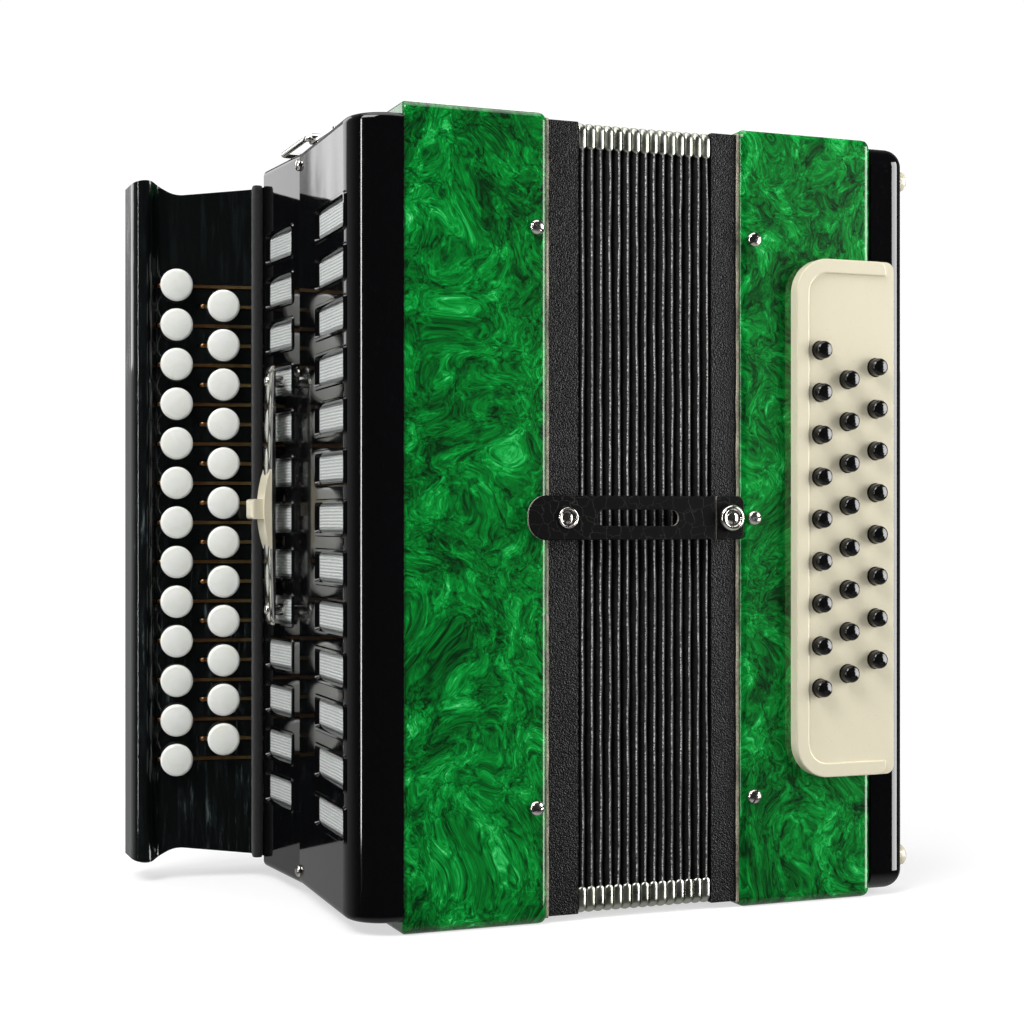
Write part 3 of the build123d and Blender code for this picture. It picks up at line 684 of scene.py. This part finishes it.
def fold_ridge(x, seed):
    """The rounded outer edge of one fold, slightly uneven along its length."""
    profile = ((-RIDGE_HALF, RIDGE_DROP), (-RIDGE_HALF + 0.10, 0.95), (-0.80, 0.42), (-0.30, 0.06),
               (0.0, 0.0), (0.30, 0.06), (0.80, 0.42), (RIDGE_HALF - 0.10, 0.95),
               (RIDGE_HALF, RIDGE_DROP))
    loops = []
    for offset, sink in profile:
        loop, soft = [], 1.0 if abs(offset) < RIDGE_HALF else 0.0
        for y, z in frame_loop(FOLD_INSET + sink, 2.6 - sink, 4, 60):
            wobble = noise.noise(Vector((seed * 7.3, y * 0.035, z * 0.035)))
            ripple = noise.noise(Vector((seed * 3.1 + 40, y * 0.25, z * 0.25)))
            shift = (0.42 * wobble + 0.20 * ripple) * soft
            cy, cz = y - DEPTH / 2, z - MIDDLE
            pull = 1 - 0.0009 * abs(ripple) * soft
            loop.append(at(x + offset + shift, DEPTH / 2 + cy * pull, MIDDLE + cz * pull))
        loops.append(loop)
    verts, faces = skin(loops)
    slots = []
    for row in range(len(loops) - 1):
        slots += [1 if row in WORN_AND_HIGHLIT_ROWS else 0] * len(loops[0])
    return verts, faces, slots


def fold_valley(x0, x1, near_end=False, far_end=False):
    """The walls between two ridges, or between a frame and its next ridge."""
    mid, rim = (x0 + x1) / 2, FOLD_INSET + RIDGE_DROP
    if near_end:
        stops = [(x0, VALLEY_INSET), (mid, WALL_INSET), (x1, rim)]
    elif far_end:
        stops = [(x0, rim), (mid, WALL_INSET), (x1, VALLEY_INSET)]
    else:
        stops = [(x0, rim), ((x0 + mid) / 2, WALL_INSET), (mid, VALLEY_INSET),
                 ((mid + x1) / 2, WALL_INSET), (x1, rim)]
    return skin([[at(x, y, z) for y, z in frame_loop(inset, 1.0, 3)] for x, inset in stops])


def cap_stations():
    """Stops along a cap: place from the corner, outward direction, and relative width."""
    stations, steps, rounding = [], 26, 1.6
    for k in range(steps + 1):
        s = CAP_LEG * (2 * k / steps - 1)
        if abs(s) <= CAP_BEND:
            t = math.radians(45 + 45 * s / CAP_BEND)
            ny, nz = -math.cos(t), -math.sin(t)
            a, b = CAP_BEND * (1 + ny), CAP_BEND * (1 + nz)
        elif s < 0:
            a, b, ny, nz = 0.0, -s, -1.0, 0.0
        else:
            a, b, ny, nz = s, 0.0, 0.0, -1.0
        over = max(0.0, abs(s) - (CAP_LEG - rounding)) / rounding
        stations.append((a, b, ny, nz, math.sqrt(1 - over * over * 0.985)))
    return stations


def corner_caps(x):
    """Four folded metal caps over the corners of one fold."""
    shapes, arc, corner = [], 8, FOLD_INSET + 0.15
    for side_y in (0, 1):
        for side_z in (0, 1):
            rings = []
            for a, b, ny, nz, width in cap_stations():
                ring = []
                for k in range(arc + 1):
                    t = math.pi * k / arc
                    out = math.sin(t) ** 0.8 * 1.35 * (0.35 + 0.65 * width) - 0.75
                    y, z = corner + a + ny * out, corner + b + nz * out
                    ring.append(at(x - math.cos(t) * CAP_HALF * width,
                                   DEPTH - y if side_y else y, HEIGHT - z if side_z else z))
                rings.append(ring)
            shapes.append(grid(rings))
    return shapes


def bellows_piece(name, shapes, materials, angle, node):
    """One piece of the bellows, hiding the CAD node it stands in for."""
    obj = assemble(name, materials, angle, *((shape,) for shape in shapes))
    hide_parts(node)
    return obj


def build_bellows(mats):
    edges = [(TREBLE_FRAME_END, 0.0)]
    for n in range(FOLDS):
        share, x = (n + 0.5) / FOLDS, TREBLE_FRAME_END + (n + 0.5) * PITCH
        ridge = bellows_piece(f"bellows_ridge_{n + 1:02d}", [fold_ridge(x, n + 1)],
                              [mats["bellows"], mats["ridge"]], 60,
                              "bellows_folds")
        rigid_share(ridge, x, share)
        caps = bellows_piece(f"bellows_caps_{n + 1:02d}", corner_caps(x), [mats["cap"]], 60,
                             "bellows_corner_caps")
        rigid_share(caps, x, share)
        edges += [(x - RIDGE_HALF, share), (x + RIDGE_HALF, share)]
    edges.append((BASS_FRAME_START, 1.0))
    for n in range(FOLDS + 1):
        (x0, share0), (x1, share1) = edges[2 * n], edges[2 * n + 1]
        valley = bellows_piece(f"bellows_valley_{n + 1:02d}",
                               [fold_valley(x0, x1, n == 0, n == FOLDS)], [mats["bellows"]],
                               80, "bellows_folds")
        spread(valley, x0, share0, x1, share1)


# ------------------------------------------------------------------ treble keys

TILT = math.radians(10)
BOARD_X, BOARD_Y = -19.5, 139.0
AXLE_X, AXLE_Y = -8.0, 143.0
KEY_PITCH, KEY_MIDDLE = 17.85, MIDDLE - 1.9
BOARD_MIDDLE = MIDDLE - 1.4
BUTTON_RADIUS, BUTTON_GAP = 7.3, 3.2
PALLET_HALF_Y, PALLET_HALF_Z = 15, 6.8
# how many keys, how far out their buttons are, where their pallets are, where levers end
KEY_ROWS = {"outer": (13, 39.3, 56.0, 47.6), "inner": (12, 18.6, 99.0, 28.9)}


def on_board(out, rise):
    """A point this far out along the fingerboard, and this far above it."""
    return (BOARD_X - out - rise * math.sin(TILT),
            BOARD_Y + out * math.tan(TILT) - rise * math.cos(TILT))


def build_key(row, number, z, mats):
    """A brass lever with its hub, end rivet, wooden pallet, felt pad and white button."""
    name = f"treble_key_{row}_{number:02d}"
    _, reach, pallet_y, end = KEY_ROWS[row]
    arm = (on_board(end, 0.5), on_board(reach + 3, 0.5), on_board(reach + 2.2, BUTTON_GAP),
           on_board(reach - 2.2, BUTTON_GAP), on_board(reach - 3, 0.5),
           on_board(BOARD_X - AXLE_X, 0.5), (AXLE_X, AXLE_Y + 2.5), on_board(end, -3.6))
    back = ((AXLE_X - 3, AXLE_Y), (AXLE_X + 1, AXLE_Y + 3), (-1.2, AXLE_Y - 4),
            (-1.2, pallet_y - 9), (-4.2, pallet_y - 9), (-4.2, AXLE_Y - 8))
    hub = [(1.55, -2.4), (3.4, -2.4), (3.6, -2.2), (3.6, 2.2), (3.4, 2.4), (1.55, 2.4),
           (1.55, -2.4)]
    rivet = [(0, 0), (0.95, 0), (0.95, 0.35), (0.6, 0.7), (0, 0.8)]
    to_frame = Matrix.Translation(at(0, 0, 0)) @ Matrix.Scale(MM, 4)
    out = (-math.sin(TILT), -math.cos(TILT), 0)
    (y0, z0), (y1, z1) = [(pallet_y + s * PALLET_HALF_Y, z + s * PALLET_HALF_Z) for s in (-1, 1)]
    obj = assemble(
        name + "_lever", [mats["brass"], mats["wood"], mats["felt"]], 38,
        (blade(arm, z - 0.7, z + 0.7), to_frame), (blade(back, z - 0.7, z + 0.7), to_frame),
        (lathe(hub, 24), facing(at(AXLE_X, AXLE_Y, z), (0, 0, 1), (0, 1, 0))),
        (lathe(rivet, 14), facing(at(*on_board(end - 1.2, 0.35), z), out)),
        (soft_box((-1.2, y0, z0), (2.4, y1, z1), 0.5), to_frame, 1),
        (soft_box((2.4, y0, z0), (3.98, y1, z1), 0.3), to_frame, 2))
    stands_for(obj, name, "pearl_white", name)
    place = facing(at(*on_board(reach, BUTTON_GAP), z), out)
    spin = Matrix.Rotation(random.uniform(0, 6.28), 4, "Z")
    foot = [(0, -0.45), (2.0, -0.45), (2.3, 0.02), (0, 0.02)]
    obj = assemble(name + "_button", [mats["pearl"]], 50,
                   (lathe(dome(BUTTON_RADIUS, 0.0, 3.4, 1.5, 0.55)), place @ spin),
                   (lathe(foot, 20), place))
    stands_for(obj, name, "pearl_white", name)


def build_keys(mats):
    for row, (count, *_) in KEY_ROWS.items():
        for n in range(count):
            build_key(row, n + 1, KEY_MIDDLE + ((count - 1) / 2 - n) * KEY_PITCH, mats)


# ------------------------------------------------------------------ treble cover

CREASE_Y, COVER_BACK = 89.0, 135.0
FACE_FRONT, FACE_CREASE, FACE_BACK = -20.2, -17.0, -21.0
WINDOW_PITCH, WINDOW_HALF = 20.2, 5.5


def face_x(y):
    """The cover's face, which is creased along its length."""
    if y < CREASE_Y:
        return FACE_FRONT + (FACE_CREASE - FACE_FRONT) * y / CREASE_Y
    return FACE_CREASE + (FACE_BACK - FACE_CREASE) * (y - CREASE_Y) / (COVER_BACK - CREASE_Y)


def in_window(y, z, y0, y1):
    """How far a point lies inside a window of this strip, from 0 at its rim to 1."""
    row = (z - MIDDLE) / WINDOW_PITCH
    up = WINDOW_HALF - abs(row - round(row)) * WINDOW_PITCH
    return max(0.0, min(1.0, up / 1.4, (y - y0) / 2.0, (y1 - y) / 2.0))


def build_cloth(mats):
    """Two strips of ribbed cloth behind the cover, bulging a little into its windows."""
    half, across, up = 6 * WINDOW_PITCH + 2 * WINDOW_HALF, 40, 480
    for name, y0, y1 in (("front", 14.0, 60.0), ("back", 97.5, 131.0)):
        run = Vector((face_x(y1) - face_x(y0), y1 - y0, 0)).normalized()
        inward = Vector((run.y, -run.x, 0))
        rows = []
        for k in range(up + 1):
            z, row = MIDDLE - half + 2 * half * k / up, []
            for n in range(across + 1):
                y = y0 + (y1 - y0) * n / across
                sink = 2.05 + 0.10 * noise.noise(Vector((y * 0.08, z * 0.08, 5)))
                sink -= 1.35 * in_window(y, z, y0 + 1, y1 - 1) ** 0.6
                row.append(at(*(Vector((face_x(y), y, z)) + inward * sink)))
            rows.append(row)
        obj = assemble("grille_cloth_" + name, [mats["cloth"]], 80, (grid(rows),))
        stands_for(obj, "treble", "silver_cloth", "grille_cloth")


def build_felt(mats):
    """The felt strip over the levers, with a fuzzy uneven surface."""
    x1, y1 = -21.3, BOARD_Y + 2 * math.tan(TILT) - 0.9
    cx, cy = x1 - 2.3, y1 - 2.2
    profile = [(0, 0), (4.4, 0), (4.6, 0.4), (4.6, 2.8), (4.1, 3.9), (3.4, 4.4), (1.8, 4.4),
               (0.6, 3.9), (0, 2.8)]
    half, steps = 152.6, 420
    loops = []
    for k in range(steps + 1):
        z = BOARD_MIDDLE - half + 2 * half * k / steps
        end = min(1.0, (min(k, steps - k) + 0.35) / 2.0)
        loop = []
        for x, y in ((x1 - a, y1 - b) for a, b in profile):
            fuzz = noise.noise(Vector((x * 0.9, y * 0.9, z * 0.6))) * 0.22
            scale = (0.80 + 0.20 * end) + fuzz * 0.16
            loop.append(at(cx + (x - cx) * scale, cy + (y - cy) * scale, z))
        loops.append(loop)
    obj = assemble("lever_felt", [mats["felt"]], 70, (skin(loops, capped=True),))
    stands_for(obj, "treble", "felt", "lever_felt_strip")


def build_register_plate(mats):
    """The nickel strip of the register, crowned across and slightly bowed along."""
    middle, half, steps, across = MIDDLE + 10.0, 57.0, 60, 12
    back, mid_y, half_y, rounding = -23.6, 111, 7, 3
    loops = []
    for k in range(steps + 1):
        z = -half + 2 * half * k / steps
        end = math.sqrt(max(0.0, 1 - max(0.0, abs(z) - half + rounding) ** 2 / 9.2))
        front = back - 0.6 - 1.1 * (1 - (z / half) ** 2)
        width = half_y * (0.55 + 0.45 * end)
        stops = [-1 + 2 * n / across for n in range(across + 1)]
        loops.append([at(front - 1.3 * (1 - abs(v) ** 2.4) * end, mid_y + v * width, middle + z)
                      for v in stops]
                     + [at(back, mid_y - v * width, middle + z) for v in stops])
    entries = [(skin(loops, capped=True),)]
    for side in (-1, 1):
        z = middle + side * (half - 6.6)
        entries += [(lathe([(0, -6.2), (2.6, -6.2), (2.6, 0.2), (0, 0.2)], 24),
                     facing(at(back, mid_y, z), (-1, 0, 0))),
                    (screw_shape(2.2, 0.6 + side), facing(at(back - 1.9, mid_y, z), (-1, 0, 0)))]
    obj = assemble("register_strip", [mats["plate"]], 50, *entries)
    stands_for(obj, "treble", "nickel", "register_plate")


def build_gaskets(mats):
    """The strips of cloth between caseworks and bellows frames, uneven on the seen side."""
    for body, x0, x1, way in (("treble", 61.5, 62.5, 1), ("bass", 148.4, 149.5, -1)):
        seen = x1 if way > 0 else x0
        loops = []
        for x, inset in ((x0, 3.4), (x0, 1.9), (x1, 1.9), (x1, 3.4)):
            uneven = way * 0.28 if x == seen else 0.0
            loops.append([at(x + uneven * noise.noise(Vector((x0, y * 0.12, z * 0.12))), y, z)
                          for y, z in frame_loop(inset, 1.2, 3, 90)])
        obj = assemble("gasket_" + body, [mats["gasket"]], 50, (skin(loops),))
        stands_for(obj, body, "bellows_cloth")


# ------------------------------------------------------------------ screws, straps and buttons

def screw_shape(radius, slot_turn):
    """A domed head with a sawn slot: two half shells, the slot's walls and its floor."""
    rings, steps = 7, 32
    rise, half, span = radius * 0.62, radius * 0.13, radius * 0.97
    verts = []
    for k in range(rings + 1):
        t = math.pi / 2 * k / rings
        r = radius * math.cos(t) ** 0.8 if k < rings else 0.0
        h = 0.05 * radius + rise * math.sin(t)
        for n in range(steps):
            a = 2 * math.pi * n / steps
            verts.append((r * math.cos(a), r * math.sin(a), h))
    work = bmesh.new()
    made = [work.verts.new(v) for v in verts]
    for k in range(0, rings * steps, steps):
        for n in range(steps):
            m = (n + 1) % steps
            work.faces.new([made[i] for i in (k + n, k + m, k + steps + m, k + steps + n)])
    bmesh.ops.remove_doubles(work, verts=work.verts, dist=0.0005)
    for sign in (-1, 1):
        bmesh.ops.bisect_plane(work, geom=work.verts[:] + work.edges[:] + work.faces[:],
                               plane_co=(0, sign * half, 0), plane_no=(0, 1, 0))
    inner = [f for f in work.faces if abs(f.calc_center_median().y) < half]
    bmesh.ops.delete(work, geom=inner, context="FACES")
    floor = rise * 0.5
    for sign in (-1, 1):
        rim = sorted((v for v in work.verts if abs(v.co.y - sign * half) < 1e-4),
                     key=lambda v: v.co.x)
        low = [work.verts.new((v.co.x, v.co.y, min(v.co.z, floor))) for v in rim]
        for n in range(len(rim) - 1):
            work.faces.new((rim[n], rim[n + 1], low[n + 1], low[n]))
    work.faces.new([work.verts.new((x, y, floor)) for x, y in
                    ((-span, -half), (span, -half), (span, half), (-span, half))])
    shape = from_bmesh(work)
    turn = Matrix.Rotation(slot_turn, 4, "Z")
    return [turn @ Vector(v) for v in shape[0]], shape[1]


def build_screws(mats):
    """The heads of the side screws, and of the two screws on the treble cover."""
    def heads(x, heights):
        return [(screw_shape(3.15, random.uniform(0, 3.1)), facing(at(x, y, z), (0, way, 0)))
                for z in heights for y, way in ((0.0, -1), (DEPTH, 1))]

    treble = heads(56.5, (MIDDLE - 116.5, MIDDLE + 116.5))
    for side in (-1, 1):
        treble.append((screw_shape(2.6, random.uniform(0, 3.1)),
                       facing(at(face_x(91.6), CREASE_Y, MIDDLE + side * 152.5), (-1, 0, 0))))
    bass = heads(155.6, (MIDDLE - 117, MIDDLE, MIDDLE + 117))
    for body, entries in (("treble", treble), ("bass", bass)):
        obj = assemble(body + "_screw_heads", [mats["nickel"]], 50, *entries)
        stands_for(obj, body, "nickel", body + "_screws")


def outline_solid(outer, holes, low, high, edge):
    """A flat shape with holes, as a filled curve with rounded edges, made into a mesh."""
    curve = bpy.data.curves.new("outline", "CURVE")
    curve.dimensions = "2D"
    curve.fill_mode = "BOTH"
    curve.extrude = (high - low) / 2 - edge
    curve.bevel_depth = edge
    curve.bevel_resolution = 2
    curve.offset = -edge
    for loop in [outer] + holes:
        spline = curve.splines.new("POLY")
        spline.points.add(len(loop) - 1)
        for point, (x, y) in zip(spline.points, loop):
            point.co = (x, y, 0, 1)
        spline.use_cyclic_u = True
    obj = bpy.data.objects.new("outline", curve)
    bpy.context.collection.objects.link(obj)
    bpy.context.view_layer.update()
    mesh = bpy.data.meshes.new_from_object(obj)
    middle = (low + high) / 2
    verts = [(v.co.x, v.co.y, v.co.z + middle) for v in mesh.vertices]
    faces = [list(p.vertices) for p in mesh.polygons]
    bpy.data.objects.remove(obj)
    bpy.data.meshes.remove(mesh)
    bpy.data.curves.remove(curve)
    return verts, faces


def rounded_outline(x0, x1, y0, y1, left, right, steps=12):
    """A rectangle with its own corner radius at each end."""
    centres = ((x1 - right, y1 - right, right), (x0 + left, y1 - left, left),
               (x0 + left, y0 + left, left), (x1 - right, y0 + right, right))
    points = []
    for n, (cx, cy, r) in enumerate(centres):
        for k in range(steps + 1):
            t = math.radians(90 * (n + k / steps))
            points.append((cx + r * math.cos(t), cy + r * math.sin(t)))
    return points


def circle(x, y, r, steps=32):
    turns = [2 * math.pi * n / steps for n in range(steps)]
    return [(x + r * math.cos(t), y + r * math.sin(t)) for t in turns]


def strap_band(outer, holes):
    """A flat leather shape with holes. Its side walls take the second material."""
    low, high = LEATHER_FACES
    verts, faces = outline_solid(outer, holes, low, high, 0.35)
    slots = []
    for f in faces:
        heights = [verts[i][2] for i in f]
        slots.append(int(max(heights) - min(heights) > (high - low) * 0.35))
    return verts, faces, slots


STUD_X, ANCHOR_X = 69.0, 142.8
LEATHER_FACES = (1.0, 3.0)              # from the face of the instrument


def build_straps(mats):
    """Both bellows straps, each with a snap cup, and a tail held by a cupped screw."""
    for name, y, way in (("front", 0.0, -1), ("rear", DEPTH, 1)):
        place = Matrix.Translation(at(0, y, MIDDLE)) @ Matrix(
            ((MM, 0, 0, 0), (0, 0, MM * way, 0), (0, MM, 0, 0), (0, 0, 0, 1)))
        stud, anchor = [place @ Matrix.Translation((x, 0, 0)) for x in (STUD_X, ANCHOR_X)]

        def sunk(centre, height, squash):
            return centre @ Matrix.Translation((0, 0, height)) @ Matrix.Scale(squash, 4, (0, 0, 1))

        def add(part, materials, angle, body, slot, node, *entries):
            obj = assemble(f"{name}_strap_{part}", [mats[m] for m in materials], angle, *entries)
            stands_for(obj, body, slot, node)

        strap, node = name + "_strap", name + "_bellows_strap"
        outer = rounded_outline(51.8, 135.5, -9, 9, 8.0, 0.8)
        slot = rounded_outline(82.0, 118.9, -3.3, 3.3, 3.0, 3.0)[::-1]
        eye = circle(STUD_X, 0, 3.9)[::-1]
        add("leather", ("leather", "raw"), 30, strap, "leather", node,
            (strap_band(outer, [slot, eye]), place))
        add("eyelet", ("nickel",), 50, strap, "nickel", node,
            (lathe([(0, 2.0), (3.2, 2.0), (3.3, 3.45), (3.5, 3.75), (3.8, 3.85), (4.1, 3.75),
                    (4.35, 3.4), (4.4, 3.05), (3.9, 3.02), (3.9, 1.0), (0, 1.0)], 40), stud),
            (screw_shape(2.7, math.radians(52)), sunk(stud, 1.9, 0.7)))
        tail = rounded_outline(136.5, 149.2, -9, 9, 0.6, 3.0)
        add("tail", ("leather", "raw"), 30, "bass", "leather", "strap_anchors",
            (strap_band(tail, [circle(ANCHOR_X, 0, 2.0)[::-1]]), place))
        add("cup", ("nickel",), 50, "bass", "nickel", "strap_anchors",
            (lathe([(2.0, 3.0), (5.1, 3.02), (5.55, 3.5), (5.6, 4.2), (5.3, 5.2), (4.6, 5.8),
                    (4.1, 5.9), (3.6, 5.7), (3.35, 5.1), (3.3, 4.4), (0, 4.4)], 48), anchor),
            (lathe([(2.0, -1.0), (2.0, 3.2)], 24), anchor),
            (screw_shape(2.9, math.radians(92)), sunk(anchor, 4.3, 0.75)))
        add("stud", ("nickel",), 50, "treble", "nickel", "strap_studs",
            (lathe([(0, -1.0), (2.3, -1.0), (2.3, 0.3), (2.0, 0.62), (0, 0.65)], 28), stud))


# each row's place along the instrument, its count, and its first button from the middle
BASS_ROWS, BASS_PITCH = ((185.3, 9, 71.1), (198.7, 8, 59.0), (212.6, 8, 64.6)), 17.9


def build_bass_buttons(mats):
    """Three rows of round-edged black buttons on thin stems."""
    for row, (x, count, top) in enumerate(BASS_ROWS, 1):
        entries = []
        for n in range(count):
            place = facing(at(x, -4.0, MIDDLE + top - n * BASS_PITCH), (0, -1, 0))
            entries += [(lathe(dome(3.75, -8.0, 5.6, 1.9, 0.5), 40), place),
                        (lathe([(1.5, -20.0), (1.5, -7.9)], 16), place)]
        obj = assemble(f"bass_buttons_{row}", [mats["black_button"]], 50, *entries)
        stands_for(obj, f"bass_row_{row}", "black_buttons", f"bass_buttons_row_{row}")


COVER_END, BOW = 232.2, 34.8
STRAP_SPAN, STRAP_BACK, STRAP_FRONT = 128, 104, 146


def build_end(mats):
    """The feet and the air button on the bass end."""
    foot = [(0, 0), (4.6, 0), (4.6, 2.6), (4.3, 3.8), (3.5, 4.6), (2.2, 4.95), (0.9, 4.85),
            (0, 4.8)]
    feet = [(lathe(foot, 36), facing(at(COVER_END, y, MIDDLE + z), (1, 0, 0)))
            for y in (12.0, DEPTH - 12.0) for z in (-148.5, 148.5)]
    obj = assemble("bass_feet", [mats["cream"]], 50, *feet)
    stands_for(obj, "bass", "cream", "end_feet")
    knob = [(0, -9), (4.0, -9), (4.0, 3.4), (7.2, 3.4), (7.5, 3.7), (7.5, 5.2), (7.1, 6.1),
            (6.3, 6.6), (4.5, 6.45), (2.5, 6.25), (0, 6.2)]
    obj = assemble("air_valve_button", [mats["cream"]], 50,
                   (lathe(knob, 44), facing(at(COVER_END, 86.0, 238.0), (1, 0, 0))))
    stands_for(obj, "air_button", "cream", "air_button")


def on_strap(s, v, lift):
    """A point s along the hand strap and v across it, and the way its face looks there."""
    t = max(-1.0, min(1.0, s))
    slope = -2 * BOW * t / STRAP_SPAN if abs(s) < 1 else 0.0
    way = Vector((1, 0, -slope)).normalized()
    inner = Vector((COVER_END + 0.4 + BOW * (1 - t * t) * (1 - 0.10 * t * t),
                    STRAP_BACK + (STRAP_FRONT - STRAP_BACK) * v, MIDDLE + s * STRAP_SPAN))
    return at(*(inner + way * lift)), way


def build_hand_strap(mats):
    """A stout leather strap, bowed over the hand, stitched along both edges."""
    def thick(v):
        return 1.9 + 0.9 * math.sin(math.pi * v) ** 0.45

    steps, stitches, tongue = 90, 58, 1.109
    stops = [n / 14 for n in range(15)]
    loops = []
    for k in range(steps + 1):
        s = tongue * (2 * k / steps - 1)
        loops.append([on_strap(s, v, thick(v))[0] for v in stops]
                     + [on_strap(s, 1 - v, 0)[0] for v in stops])
    verts, faces = skin(loops, capped=True)
    cut = (len(stops) - 1, 2 * len(stops) - 1)
    slots = [int(n in cut) for n in range(2 * len(stops))] * steps + [1, 1]
    entries = [((verts, faces, slots),)]
    for v in (0.075, 0.925):
        for k in range(stitches):
            spot, way = on_strap(-0.97 + 1.94 * k / (stitches - 1), v, thick(v))
            entries.append((soft_box((-1.3, -0.28, -0.1), (1.3, 0.28, 0.3), 0.12, 1),
                            facing(spot, way, (0, 1, 0)), 2))
    obj = assemble("hand_strap_leather", [mats["leather"], mats["raw"], mats["thread"]], 50,
                   *entries)
    stands_for(obj, "bass", "leather", "hand_strap")


def main():
    random.seed(7)
    set_camera()
    set_stage()
    mats = {"green": green_pearl(), "black": black_gloss(), "nickel": nickel(),
            "steel": nickel("steel", (0.55, 0.55, 0.55)), "brass": brass(),
            "cap": nickel("cap_nickel", (0.52, 0.54, 0.46), 0.26, 0.42),
            "plate": nickel("plate_nickel", (0.95, 0.94, 0.89)), "board": board_gloss_painted_streaks(),
            "pearl": pearl_white(), "cream": cream(), "frame": pebbled(),
            "ridge": worn_and_highlit_ridge(), "bellows": bellows_cloth(), "leather": strap_leather(),
            "raw": raw_edge_painted_highlight(), "gasket": gasket_cloth(), "cloth": silver_cloth(),
            "felt": felt(), "wood": wood(), "thread": thread(),
            "black_button": black_gloss("black_button", (0.004, 0.004, 0.004), 0.08)}
    paint(mats["green"], "treble_casework", "bass_casework")
    paint(mats["black"], "treble_grille", "bass_end_cover")
    paint(mats["board"], "fingerboard")
    paint(mats["frame"], "treble_bellows_frame", "bass_bellows_frame")
    paint(mats["cream"], "bass_panel", "register_knob")
    paint(mats["nickel"], "strap_brackets", "strap_ring_top",
          "strap_ring_back", "hand_strap_brackets")
    paint(mats["steel"], "key_axle")
    paint(mats["wood"], "treble_deck", "treble_reed_block", "bass_deck", "bass_reed_block")
    for build in (build_bellows, build_keys, build_cloth, build_felt, build_register_plate,
                  build_gaskets, build_screws, build_straps, build_bass_buttons, build_end,
                  build_hand_strap):
        build(mats)


main()
